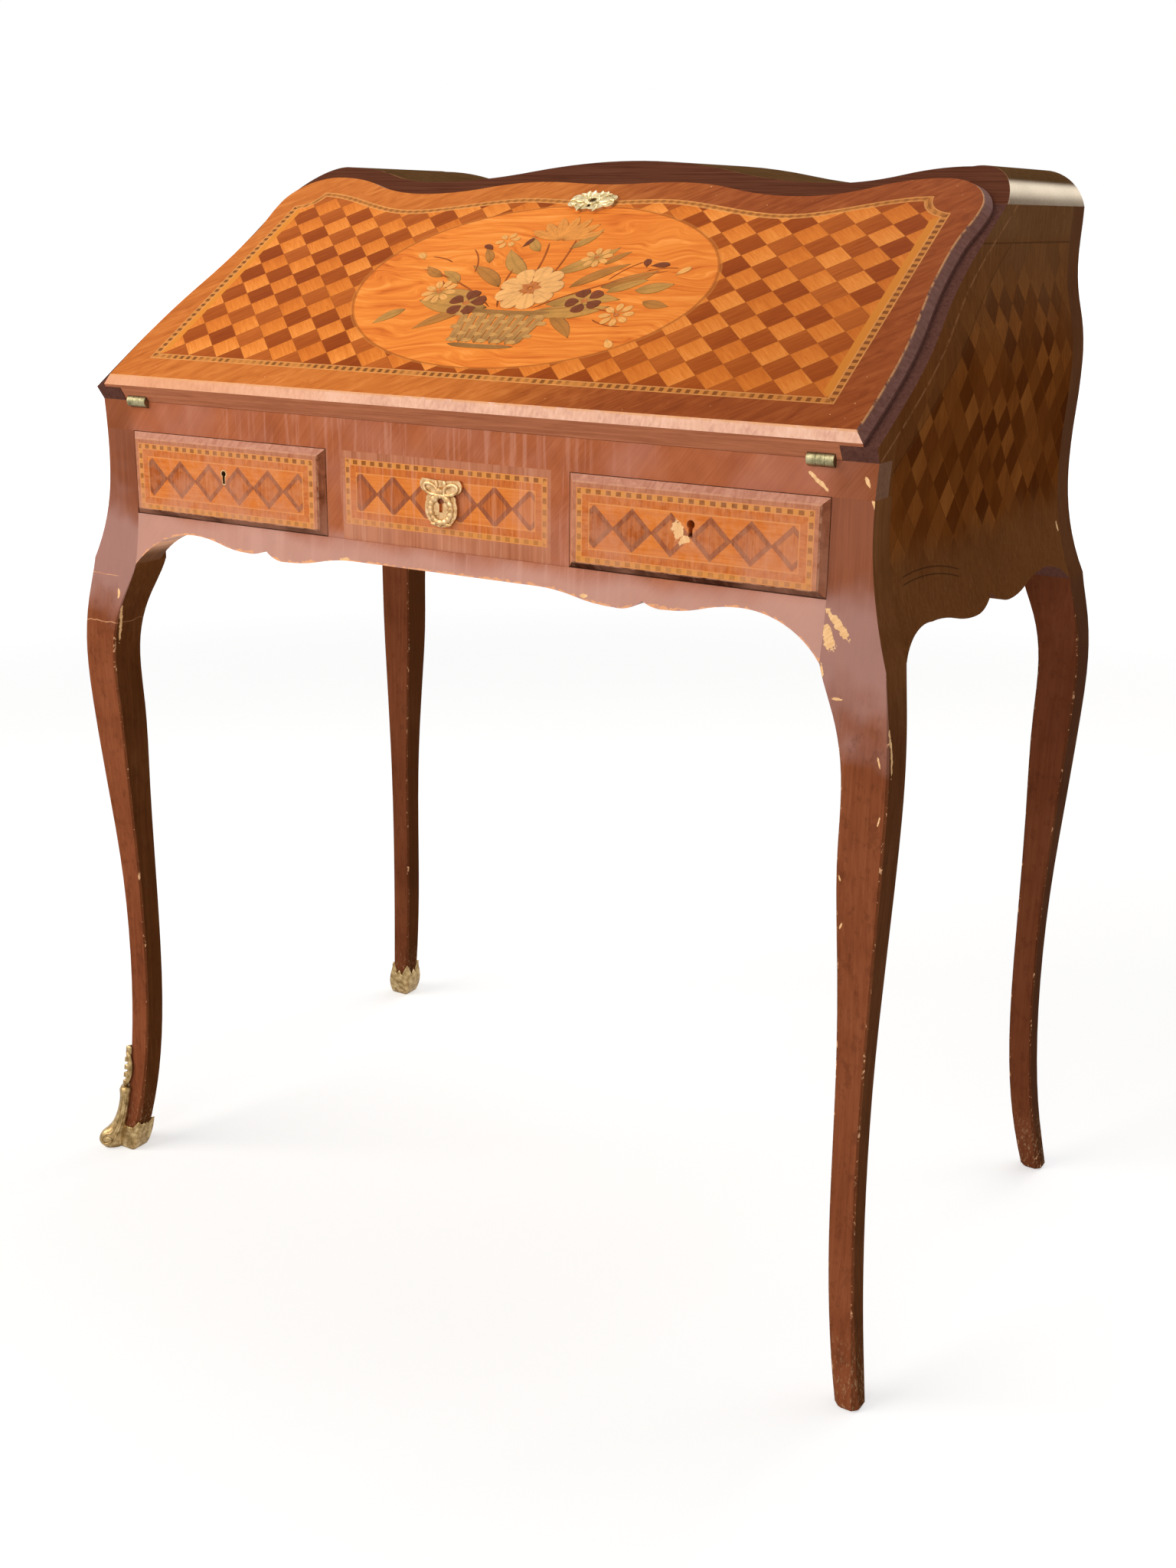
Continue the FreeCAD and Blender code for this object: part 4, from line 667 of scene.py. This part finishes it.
def dressNodes():
    made = {
        "leg": legFinish(), "front": frontFinish(), "side": sideFinish(), "top": topFinish(),
        "fall": fallFinish(), "steel": steelFinish(), "gilt": brassFinish("agedGilt", "aged"),
        "silver": brassFinish("paleGilt", "pale"), "shoe": brassFinish("shoeGilt", "old"),
        "hinge": brassFinish("hingeBrass", "dull", 0.42),
    }
    fronts = ("left_drawer_front", "centre_panel", "right_drawer_front")
    panels = {name: panelFinish(name) for name in fronts}
    choices = [  # a node takes the first row with a word that its name holds
        ("leg", made["leg"]), ("left_side right_side", made["side"]), ("top_board", made["top"]),
        ("fall_board", made["fall"]), ("front_rail front_apron muntin", made["front"]),
        ("_lock _bolt", made["steel"]), ("hinge", made["hinge"]), ("shoe", made["shoe"]),
        ("fall_escutcheon", made["silver"]), ("escutcheon knob liner", made["gilt"]),
        ("writing_leather", leatherFinish()), ("back_panel", plainFinish("backBoard", "rear", "z", 0.55)),
        ("divider", plainFinish("nestUpright", "warm", "z", 0.4)),
        ("nest writing_bed top_rail well_cover", plainFinish("nestAcross", "warm", "x", 0.4)),
        ("sides guide runner left_wall right_wall", plainFinish("innerDeep", "ashen", "y")),
    ]
    plain = plainFinish("innerAcross", "ashen", "x")
    for name, node in nodes.items():
        fits = [finish for words, finish in choices if any(word in name for word in words.split())]
        node.data.materials.clear()
        node.data.materials.append(panels.get(name) or [*fits, plain][0])
    print("finishes on", len(nodes), "nodes")
    return made


finishes = dressNodes()


# New pieces are closed shells: runs of rings with a tip at each end, or a run that meets itself where tips
# is None.
def addPiece(name, groups, finish, body):
    points, faces, marks, start = [], [], [], 0
    for rings, tips in groups:
        count, steps, rounds = rings.shape[:3]
        turn = np.arange(rounds)
        after = (turn + 1) % rounds
        step = np.arange(steps if tips is None else steps - 1)[:, None] * rounds
        ahead = (step + rounds) % (steps * rounds)
        cover = [np.stack([step + turn, step + after, ahead + after, ahead + turn], -1).reshape(-1, 4)]
        corners = rings.reshape(count, -1, 3)
        along = np.repeat((np.arange(steps) + 1) / (steps + 1), rounds)
        across = np.tile(0.5 + 0.5 * np.cos(2 * np.pi * turn / rounds), steps)
        if tips is not None:
            first, far = np.full(rounds, steps * rounds), (steps - 1) * rounds
            corners = np.concatenate([corners, tips], 1)
            along, across = np.append(along, [0, 1]), np.append(across, [0.5, 0.5])
            cover.append(np.stack([first, after, turn], -1))
            cover.append(np.stack([first + 1, far + turn, far + after], -1))
        halves = np.concatenate([cover[0][:, :3], cover[0][:, [0, 2, 3]], *cover[1:]])
        local = corners - corners.mean(1, keepdims=True)
        a, b, c = (local[:, halves[:, corner]] for corner in range(3))
        inward = np.einsum("nfk,nfk->n", a, np.cross(b, c)) < 0  # a negative volume: faces look inward
        size = corners.shape[1]
        for part in cover:
            placed = part + (start + np.arange(count) * size)[:, None, None]
            placed[inward] = placed[inward][:, :, ::-1]
            faces += placed.reshape(-1, part.shape[1]).tolist()
        points.append(corners.reshape(-1, 3))
        marks.append(np.tile(np.stack([along, across], -1), (count, 1)))
        start += count * size
    mesh = bpy.data.meshes.new(name)
    mesh.from_pydata(np.concatenate(points).tolist(), [], faces)
    which = np.empty(len(mesh.loops), dtype=np.int32)
    mesh.loops.foreach_get("vertex_index", which)
    mesh.uv_layers.new(name="along").data.foreach_set("uv", np.concatenate(marks)[which].ravel())
    mesh.shade_smooth()
    mesh.materials.append(finish)
    piece = addObject(name, mesh)
    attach(piece, body)
    return piece


def onSlope(x, v, lift):  # mm across, up and out from the fall's face, to metres
    x, v, w = np.broadcast_arrays(x, v, lift + desk["lipTop"])
    y, z = desk["front"] + v * slopeCos - w * slopeSin, desk["hingeLevel"] + v * slopeSin + w * slopeCos
    return np.stack([x, y, z], -1) / 1000


def onFront(x, z, lift):  # mm across, up and out from the case's front, to metres
    return np.stack(np.broadcast_arrays(x, desk["front"] - lift, z), -1) / 1000


# Leaves, one per row of (place, place, heading, length, width, bend): the midrib is an arc turned by bend,
# the half width is width/2 * (1 - |2 s^fat - 1|^square) at share s, and the section is a flat oval.
def leafShells(rows, place, rise, lift, fat=1.0, square=2.0, stack=0.0, steps=11, rounds=10):
    rows = np.array(rows, dtype=float)
    first, second, heading, length, width, bend = (rows[:, column, None, None] for column in range(6))
    heading, bend = np.radians(heading), np.radians(np.where(abs(bend) < 0.1, 0.1, bend))
    level = lift + stack * np.arange(len(rows))[:, None, None]

    def spot(share, turn):
        angle = heading + bend * share
        half = width / 2 * (1 - abs(2 * share ** fat - 1) ** square)
        across, up = half * np.cos(turn), rise * np.sin(turn) * (2 * half / width) ** 0.5
        one = first + length * (np.sin(angle) - np.sin(heading)) / bend - across * np.sin(angle)
        two = second - length * (np.cos(angle) - np.cos(heading)) / bend + across * np.cos(angle)
        return place(one, two, level + up)

    shares = ((np.arange(steps) + 1) / (steps + 1))[None, :, None]
    turns = circle(rounds)[None, None]
    tips = [spot(np.full((1, 1, 1), end), np.zeros((1, 1, 1)))[:, 0] for end in (0.0, 1.0)]
    return spot(shares, turns), np.concatenate(tips, 1)


def petals(x, v, count, near, length, width, start=0.0, spread=360.0):  # rows of petals round a heart
    angles = start + spread * np.arange(count) / count
    turn = np.radians(angles)
    return [
        (x + near * math.cos(at), v + near * math.sin(at), angle, length, width, 0.0)
        for at, angle in zip(turn, angles)
    ]


def mirrored(rows):
    return rows + [(-x, v, 180 - turn, length, width, -bend) for x, v, turn, length, width, bend in rows]


# A ring on an oval of half axes semi, turned by tilt: its tube swells by a quarter that many times round.
def ringShell(place, middle, semi, tilt, tube, lift, bumps=0, steps=48, rounds=10):
    angle = circle(steps)[:, None]
    turn = circle(rounds)[None]
    swell = 1 + 0.25 * np.cos(bumps * angle) * (bumps > 0)
    one = (semi[0] + tube * swell * np.cos(turn)) * np.cos(angle)
    two = (semi[1] + tube * swell * np.cos(turn)) * np.sin(angle)
    lean = math.radians(tilt)
    x = middle[0] + one * math.cos(lean) - two * math.sin(lean)
    v = middle[1] + one * math.sin(lean) + two * math.cos(lean)
    return place(x, v, lift + tube * 0.8 * swell * np.sin(turn))[None], None


bouquet = {
    "rise": 0.22, "lift": 0.02, "stack": 0.0012, "grow": 1.14, "middle": (0, 150, 0, 0, 0, 0),
    "slats": [(x * 0.74, 84, 90 - x * 0.32, 37, 6.4, 0) for x in np.linspace(-34, 34, 9)],
    "weave": [
        (x * (0.76 + 0.06 * row), 87 + 7.2 * row, 0, 8.6, 4.6, 0)
        for row in range(5) for x in np.linspace(-40, 24, 5) + 8 * (row % 2)
    ],
    "rim": [(-39, 122, -10, 79, 6.0, 20), (-27, 82, -5, 54, 4.6, 10)],
    "stems": [
        (-10, 124, 118, 62, 1.7, -34), (8, 124, 78, 88, 1.8, 22), (-16, 124, 140, 96, 1.6, 26),
        (16, 124, 42, 100, 1.6, -24), (-22, 122, 168, 62, 1.5, -40), (22, 122, 20, 66, 1.5, -38),
        (-52, 164, 100, 34, 1.3, 40), (60, 160, 70, 30, 1.3, -36), (-2, 168, 96, 36, 1.7, 14),
        (-78, 176, 150, 22, 1.2, 30), (84, 172, 26, 24, 1.2, -30), (70, 116, -34, 26, 1.2, 40),
    ],
    "leafOlive": [
        (-18, 124, 186, 62, 17, -22), (20, 122, -4, 58, 16, 26), (-26, 130, 158, 54, 15, 30),
        (26, 130, 24, 56, 15, -30), (-8, 164, 152, 42, 13, -34), (14, 166, 30, 50, 14, 24),
        (-58, 150, 130, 26, 9, 30), (66, 146, 48, 30, 11, -32), (10, 196, 44, 30, 9, 26),
        (-12, 192, 146, 24, 8, -30), (86, 150, 8, 28, 12, 20), (-84, 118, 214, 26, 10, 24),
    ],
    "leafBrown": [
        (-34, 120, 206, 40, 11, 24), (36, 118, -28, 36, 10, -26), (-22, 148, 134, 44, 11, 24),
        (34, 150, 52, 46, 11, -22), (58, 152, 18, 42, 13, 26), (-76, 158, 164, 24, 8, -30),
        (-46, 176, 112, 22, 7, 26), (48, 178, 62, 22, 7, -26), (98, 138, -22, 22, 9, 20),
    ],
    "pale": [
        *petals(-68, 140, 9, 3, 11, 5.6), *petals(86, 122, 8, 3, 10, 5.4, 10),
        *petals(38, 186, 8, 2.6, 9.5, 5, 16), *petals(-46, 204, 6, 2, 8, 5, 20),
        (-104, 178, 130, 12, 6, 20), (108, 168, 60, 13, 6, -20), (92, 96, -60, 12, 6, 20),
    ],
    "cream": petals(4, 148, 9, 8, 18, 14.5, 8) + petals(4, 148, 7, 4, 13, 11, 30),
    "heart": [
        *petals(4, 148, 5, 1, 8, 6.4, 12), *petals(-38, 128, 1, -3.2, 6.4, 5.6),
        *petals(54, 136, 1, -3, 6, 5.2), *petals(-68, 140, 1, -2.6, 5.2, 5),
        *petals(86, 122, 1, -2.5, 5, 4.8), *petals(38, 186, 1, -2.4, 4.8, 4.6),
    ],
    "dark": [
        *petals(-38, 128, 5, 2.4, 13, 12, 18), *petals(54, 136, 5, 2.4, 12, 11, 50),
        (84, 178, 20, 15, 6.4, -30), (82, 176, 100, 11, 5.6, 24), (-30, 196, 60, 13, 5, 20),
        (-52, 192, 140, 12, 5, 20),
    ],
    "fan": petals(-2, 204, 7, 2, 30, 8.4, 24, 154) + petals(-2, 204, 6, 2, 19, 6.6, 36, 136),
    "woods": {  # laid in this order: colour, fullness of the outline, how far along its widest place lies
        "stems": ((164, 84, 34), 12.0, 0.85), "leafBrown": ((180, 118, 56), 2.0, 0.85),
        "leafOlive": ((192, 138, 70), 2.0, 0.85), "slats": ((184, 132, 74), 8.0, 0.85),
        "weave": ((206, 150, 84), 6.0, 0.85), "rim": ((160, 112, 60), 6.0, 0.85),
        "fan": ((226, 146, 70), 2.0, 1.5), "pale": ((232, 166, 92), 2.6, 1.4),
        "dark": ((124, 66, 40), 3.0, 1.6), "cream": ((240, 172, 104), 3.0, 1.5),
        "heart": ((196, 116, 60), 2.0, 0.85),
    },
}


# Inlaid veneer: grain of its own, burnt in hot sand towards the root of each leaf and along its midrib.
def inlayFinish(name, colour):
    f = woodCoat(name)
    x, y, z = f.axes()
    along, across = f.split("UV")[:2]
    streaks = grain(f, x + y, y + z - x, z, 26.0, 1.6, 0.8)
    low, high = [tuple(min(255, part * share) for part in colour) for share in (0.82, 1.1)]
    f.tone = f.ramp(streaks * 0.7 + f.cloud(16) * 0.3, shades(low, high))
    burnt = paint(*(part * 0.66 for part in colour))
    f.lay((1 - along.past(0.2, 0.4)) * 0.5, burnt)
    f.lay((1 - abs(across - 0.5).past(0.07, 0.06)) * 0.25, burnt)
    f.lay(abs(across - 0.5).past(0.47, 0.04) * 0.3, burnt)
    return f.done(streaks, 0.3, 0.52, streaks, 0.15, 0.0001)


def layBouquet():
    b, grow = bouquet, bouquet["grow"]
    for layer, (key, (colour, fullness, forward)) in enumerate(b["woods"].items()):
        rows = (np.array(b[key]) - b["middle"]) * (grow, grow, 1, grow, grow, 1) + b["middle"]
        shells = leafShells(rows, onSlope, b["rise"], layer * b["lift"], forward, fullness, b["stack"])
        finish = inlayFinish("inlay_" + key + "_finish", colour)
        addPiece("inlay_" + key, [shells], finish, "fall")
    print("bouquet laid:", len(b["woods"]), "woods")


cartouche = {
    "eye": (0.0, 267.6), "plate": 2.5, "ring": (5.6, 4.6), "tube": 1.5, "bumps": 14, "rise": 1.3,
    "leaves": [
        (5, 270, 34, 13, 4.2, 80), (6, 266, -6, 16, 4.4, 60), (5, 262.5, -44, 12, 4.0, -70),
        (3, 273, 74, 9, 3.6, 30), (14, 269, 16, 8, 3.2, -80), (12, 262, -20, 8, 3.2, 80),
        (9, 274, 50, 7, 2.8, -60),
    ],
}

wreath = {
    "face": 3.0, "middle": (0.0, 648.6), "semi": (9.4, 10.4), "tube": 2.6, "bumps": 16,
    "loops": [(-9.2, 663.4, 158), (9.2, 663.4, 22)], "loop": (6.6, 3.6), "loopTube": 1.5,
    "knotRise": 2.4, "leafRise": 1.4,
    "ribbons": [
        (2.0, 661.0, -34, 15, 4.0, -52), (1.5, 660.5, -70, 11, 3.6, 40), (3.0, 664.0, 66, 7, 4.0, 40),
    ],
    "knot": [(-3.6, 662.4, 0, 7.2, 5.4, 0), (0.0, 659.6, 90, 6.0, 4.6, 0)],
    "sprigs": [(3.0, 638.6, 14, 9, 3.4, 50), (2.5, 637.6, -20, 8, 3.0, 40)],
}


def layMounts():
    c, w = cartouche, wreath
    ring = ringShell(onSlope, c["eye"], c["ring"], 0.0, c["tube"], c["plate"] + 0.2, c["bumps"])
    leaves = leafShells(mirrored(c["leaves"]), onSlope, c["rise"], c["plate"], 0.75, 2.0, 0.02)
    addPiece("fall_cartouche", [ring, leaves], finishes["silver"], "fall")
    garland = ringShell(onFront, w["middle"], w["semi"], 0.0, w["tube"], w["face"], w["bumps"])
    groups = [garland, leafShells(w["knot"], onFront, w["knotRise"], w["face"] + 0.8, 1.0, 3.0)]
    for x, z, tilt in w["loops"]:
        groups.append(ringShell(onFront, (x, z), w["loop"], tilt, w["loopTube"], w["face"] + 0.4))
    for key in ("ribbons", "sprigs"):
        groups.append(leafShells(mirrored(w[key]), onFront, w["leafRise"], w["face"], 0.9, 2.4))
    addPiece("bow_and_wreath", groups, finishes["gilt"], "case")
    print("mounts laid")


shoes = {
    "corner": ((385.5, -0.2008, 5.97e-4), (227.0, -0.16, 4.72e-4)), "inset": 10.2,
    "sole": 0.3, "belly": 34.0, "underCut": 1.2, "lipIn": 2.6, "lipDrop": 0.3, "roof": 20.0,
    "front": {
        "half": 11.2, "bulge": 0.8, "top": 23.0,
        "points": [(45, 4.0, 26), (0, 3.0, 14), (-20, 4.0, 12), (-45, 7.0, 20)],
    },
    "rear": {
        "half": 11.6, "bulge": 1.9, "top": 27.0,
        "points": [(at, *size) for at, size in zip(range(0, 360, 45), 4 * [(5.0, 14), (13.0, 24)])],
    },
    "level": (0.4, 3, 7, 11, 15, 18.5, 21, 25, 30, 36, 42, 50, 56, 60, 63),
    "reach": (11.5, 15.8, 18.6, 19.4, 18.6, 16.0, 12.6, 9.8, 8.0, 6.8, 6.2, 6.0, 6.6, 7.6, 6.0),
    "girth": (5.0, 6.3, 7.2, 7.5, 7.4, 7.2, 7.0, 7.2, 7.4, 7.4, 7.2, 7.0, 7.2, 7.8, 6.2), "inner": 5.0,
    "samples": 150, "smooth": 13,
    "volute": (11.6, 10.0, 100.0, -330.0, 6.6, 5.0), "scrollLine": 1.2, "seamLine": 1.1,
    "lead": [(4.6, 60.0), (3.6, 44.0), (5.2, 26.0), (6.5, 20.0)],
    "seam": [(1.0, 58.0), (0.2, 42.0), (0.6, 26.0), (4.0, 13.0), (8.0, 2.4)],
    "straps": [  # from z to z, half width, thickness, shift aside, lift, rings
        (96, 105, 3.2, 2.4, 0.0, 2.2, 10),
        (60, 101, 1.8, 2.4, -4.4, 3.0, 30), (60, 101, 1.8, 2.4, 4.4, 3.0, 30),
        *((z - 2.9, z + 2.9, 2.2, 2.5, 0.0, 2.6, 8) for z in (67, 75, 83, 91)),
    ],
    "outward": np.array([-diagonal, -diagonal, 0.0]), "side": np.array([diagonal, -diagonal, 0.0]),
}


# Outer corner of a left foot at height z: a0 + a1 z + a2 z^2 on each axis, less the inset.
def footPoint(z, inset, toBack):
    x, y = (c[0] + c[1] * z + c[2] * z * z - inset for c in shoes["corner"])
    return np.stack([-x, y if toBack else -y, z * np.ones_like(x)], -1)


# Cup round a foot: rounded square rings |cos a|^8 + |sin a|^8, bulged, whose top runs up in leaf points.
def cupShell(sizes, toBack, steps=14, rounds=96):
    angle = circle(rounds)[None]
    share = np.linspace(0, 1, steps)[:, None]
    outline = (abs(np.cos(angle)) ** 8 + abs(np.sin(angle)) ** 8) ** -0.125
    top = np.full_like(angle, sizes["top"])
    for at, height, spread in sizes["points"]:
        off = abs((np.degrees(angle) - at + 180) % 360 - 180)
        top = top + height * np.clip(1 - off / spread, 0, 1) ** 0.8
    z = shoes["sole"] + share * (top - shoes["sole"])
    belly = np.sin(np.pi * np.clip(z / shoes["belly"], 0, 1))
    reach = sizes["half"] + sizes["bulge"] * belly - shoes["underCut"] * (1 - share) ** 6
    reach = np.concatenate([reach, reach[-1:] - shoes["lipIn"]]) * outline
    z = np.concatenate([z, z[-1:] - shoes["lipDrop"]])
    middle = footPoint(z, shoes["inset"], toBack)
    rings = middle + np.stack([reach * np.cos(angle), reach * np.sin(angle), 0 * reach], -1)
    tips = footPoint(np.array([shoes["sole"], shoes["roof"]]), shoes["inset"], toBack)
    return rings[None] / 1000, tips[None] / 1000


# Ribbon along a path: its section is an oval, folded back by wrap on both sides of the path to hug an arris.
def ribbonShell(path, out, half, thick, wrap=0.0, rounds=18):
    turn = circle(rounds)[None, :, None]
    across = half[:, None, None] * np.cos(turn)
    depth = thick[:, None, None] * np.sin(turn) - wrap * abs(across)
    rings = path[:, None] + shoes["side"] * across + out[:, None] * depth
    return rings[None] / 1000, np.stack([path[0], path[-1]])[None] / 1000


def bend(points, count):  # a smooth curve drawn by its control points
    share, last = np.linspace(0, 1, count)[:, None], len(points) - 1
    return sum(
        math.comb(last, i) * share ** i * (1 - share) ** (last - i) * np.array(point, dtype=float)
        for i, point in enumerate(points)
    )


# Boot at height z: a level oval from inside the leg out to the scroll's profile, as (middle, depth, girth).
def bootOval(z):
    level, smooth = shoes["level"], shoes["smooth"]
    fine = np.linspace(level[0], level[-1], shoes["samples"])
    soft = np.hanning(smooth) / np.hanning(smooth).sum()
    padded = [np.pad(np.interp(fine, level, shoes[key]), smooth // 2, "edge") for key in ("reach", "girth")]
    reach, girth = (np.interp(z, fine, np.convolve(line, soft, "valid")) for line in padded)
    return (reach - shoes["inner"]) / 2, (reach + shoes["inner"]) / 2, girth


def bootShell(steps=60, rounds=48):
    z = np.linspace(shoes["level"][0], shoes["level"][-1], steps)[:, None]
    turn = circle(rounds)[None]
    middle, depth, girth = bootOval(z)
    out, aside = (middle + depth * np.cos(turn))[..., None], (girth * np.sin(turn))[..., None]
    rings = footPoint(z, 0.0, False) + shoes["outward"] * out + shoes["side"] * aside
    return rings[None] / 1000, rings[[0, -1]].mean(1)[None] / 1000


# Raised line on one flank of the boot, drawn by (out, up) pairs:
# aside = girth * sqrt(1 - ((out - middle) / depth)^2).
def bootLine(pairs, hand, thick):
    middle, depth, girth = bootOval(pairs[:, 1])
    aside = hand * girth * np.sqrt(np.clip(1 - ((pairs[:, 0] - middle) / depth) ** 2, 0.02, 1))
    path = footPoint(pairs[:, 1], 0.0, False) + shoes["outward"] * pairs[:, :1]
    path = path + shoes["side"] * aside[:, None]
    normal = np.cross(shoes["side"], np.gradient(path, axis=0))
    normal = normal / np.linalg.norm(normal, axis=1, keepdims=True)
    taper = thick * np.clip(np.linspace(0.3, 6, len(path)), 0, 1)
    return ribbonShell(path, normal, taper, taper)


# Strap up the foot's arris from low to high, swayed aside by a half sine wave, with narrowed ends.
def strapShell(low, high, half, thick, shift, lift, count):
    share = np.linspace(0, 1, count)
    sway = np.sin(np.pi * share)[:, None] * shift
    path = footPoint(np.linspace(low, high, count), 0.0, False) + shoes["side"] * sway
    path = path + shoes["outward"] * (lift - 0.85 * abs(sway))
    ends = np.clip(np.minimum(share, 1 - share) * 9, 0.25, 1)
    out = np.tile(shoes["outward"], (count, 1))
    return ribbonShell(path, out, half * ends, thick * ends, 0.85 if shift == 0 else 0.3)


def layShoes():
    far, level, begin, end, wide, shrink = shoes["volute"]
    turn = np.radians(np.linspace(begin, end, 60))
    radius = wide - shrink * np.linspace(0, 1, 60)
    spiral = np.stack([far + radius * np.cos(turn), level + radius * np.sin(turn)], -1)
    scroll = np.concatenate([bend([*shoes["lead"], spiral[0]], 28)[:-1], spiral])
    casts = [cupShell(shoes["front"], False), bootShell()]
    for line, thick in ((scroll, shoes["scrollLine"]), (bend(shoes["seam"], 36), shoes["seamLine"])):
        casts += [bootLine(line, hand, thick) for hand in (-1, 1)]
    cup = addPiece("front_shoe_cast", casts, finishes["shoe"], "case")
    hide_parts("front_shoe")
    rearCup = [cupShell(shoes["rear"], True)]
    hind = addPiece("rear_shoe_cast", rearCup, finishes["shoe"], "case")
    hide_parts("rear_shoe")
    straps = [strapShell(*row) for row in shoes["straps"]]
    addPiece("shoe_leaf", straps, finishes["shoe"], "case")
    print("shoes laid")


layBouquet()
layMounts()
layShoes()


stage = {"floor": 60.0, "paper": 0.95, "glow": 0.4, "lift": 1.3, "fade": (1.7, 4.2)}
sky = {"ambient": 0.34, "tint": (0.95, 0.97, 1.0, 1.0)}


# Floor: one wide sheet. The camera and mirrors see part of its light as its own, all of it far off,
# so that paper white stays white and runs into the sky, and the desk's shadow stays near the feet.
def layFloor():
    half = stage["floor"]
    corners = [(-half, -half, 0), (half, -half, 0), (half, half, 0), (-half, half, 0)]
    mesh = bpy.data.meshes.new("floor")
    mesh.from_pydata(corners, [], [(0, 1, 2, 3)])
    floor = addObject("floor", mesh)
    f = Finish("floorPaper", **{"Roughness": 0.9, "Specular IOR Level": 0.1})
    x, y = f.axes()[:2]
    grit = f.noise((x / 3, y / 3), 3.0)
    f.feed("Base Color", f.ramp(grit, [(0.0, stage["paper"] - 0.02), (1.0, stage["paper"])]))
    near, far = stage["fade"]
    away = (f.length(x, y) / 1000).past((near + far) / 2, far - near)
    own = f.seen() * (away * (1 - stage["glow"]) + stage["glow"])
    glow = f.node("ShaderNodeEmission", None, {"Color": (1, 1, 1, 1), "Strength": stage["lift"]})
    mixed = f.node("ShaderNodeMixShader", None, {0: own, 1: Wire(f, f.shader.outputs[0]), 2: glow})
    f.tree.links.new(mixed.socket, f.out.inputs[0])
    mesh.materials.append(f.material)


lamps = {  # place, aim, size, power, colour
    "keyLamp": ((-2.0, -2.3, 2.5), (0.0, -0.1, 0.6), 2.4, 88.0, (1.0, 0.96, 0.9)),
    "skyLamp": ((0.5, 1.2, 2.9), (0.1, 0.0, 0.8), 2.2, 36.0, (0.96, 0.98, 1.0)),
    "frontLamp": ((0.6, -3.4, 1.5), (0.0, 0.0, 0.6), 2.0, 26.0, (1.0, 0.97, 0.94)),
    "rimLamp": ((0.65, 2.37, 1.6), (0.36, 0.1, 0.88), 0.7, 6.0, (1.0, 0.84, 0.6)),
}


def lightRoom():
    world = bpy.data.worlds.new("studio")
    bpy.context.scene.world = world
    graph = Graph(world)
    soft = graph.node("ShaderNodeBackground", None, {0: sky["tint"], 1: sky["ambient"]})
    white = graph.node("ShaderNodeBackground", None, {0: (1.0, 1.0, 1.0, 1.0)})
    mixed = graph.node("ShaderNodeMixShader", None, {0: graph.seen(), 1: soft, 2: white})
    graph.tree.links.new(mixed.socket, graph.tree.nodes.new("ShaderNodeOutputWorld").inputs[0])
    for name, (place, aim, size, power, colour) in lamps.items():
        lamp = bpy.data.lights.new(name, "AREA")
        lamp.shape, lamp.size, lamp.energy, lamp.color = "SQUARE", size, power, colour
        holder = addObject(name, lamp)
        back = np.array(place) - np.array(aim)
        faceAlong(holder, place, back / np.linalg.norm(back), np.array([0.0, 0.0, 1.0]), 0.0)


# A lamp or camera looks along minus back; right is level, and roll turns right and up about back.
def faceAlong(holder, place, back, upward, roll):
    right = np.cross(upward, back)
    right = right / np.linalg.norm(right)
    up = np.cross(back, right)
    turnedRight = math.cos(roll) * right + math.sin(roll) * up
    turnedUp = math.cos(roll) * up - math.sin(roll) * right
    matrix = np.eye(4)
    matrix[:3, 0], matrix[:3, 1], matrix[:3, 2], matrix[:3, 3] = turnedRight, turnedUp, back, place
    holder.matrix_world = Matrix(matrix.tolist())


view = {  # degrees and metres; pixels and the sensor's mm are along the picture's longer side
    "azimuth": 31.288, "elevation": 17.484, "roll": 0.71, "place": (0.80992, -1.32782, 0.86347),
    "pixels": 2048.0, "focal": 2363.1, "sensor": 36.0,
}


def setCamera():
    data = bpy.data.cameras.new("camera")
    data.lens = view["sensor"] * view["focal"] / view["pixels"]
    data.sensor_width = view["sensor"]
    camera = addObject("camera", data)
    turn, lift = math.radians(view["azimuth"]), math.radians(view["elevation"])
    back = np.array([math.sin(turn) * math.cos(lift), -math.cos(turn) * math.cos(lift), math.sin(lift)])
    faceAlong(camera, view["place"], back, np.array([0.0, 0.0, 1.0]), math.radians(view["roll"]))
    bpy.context.scene.camera = camera


layFloor()
lightRoom()
setCamera()
bpy.context.scene.view_settings.view_transform = "Standard"
print("stage set")
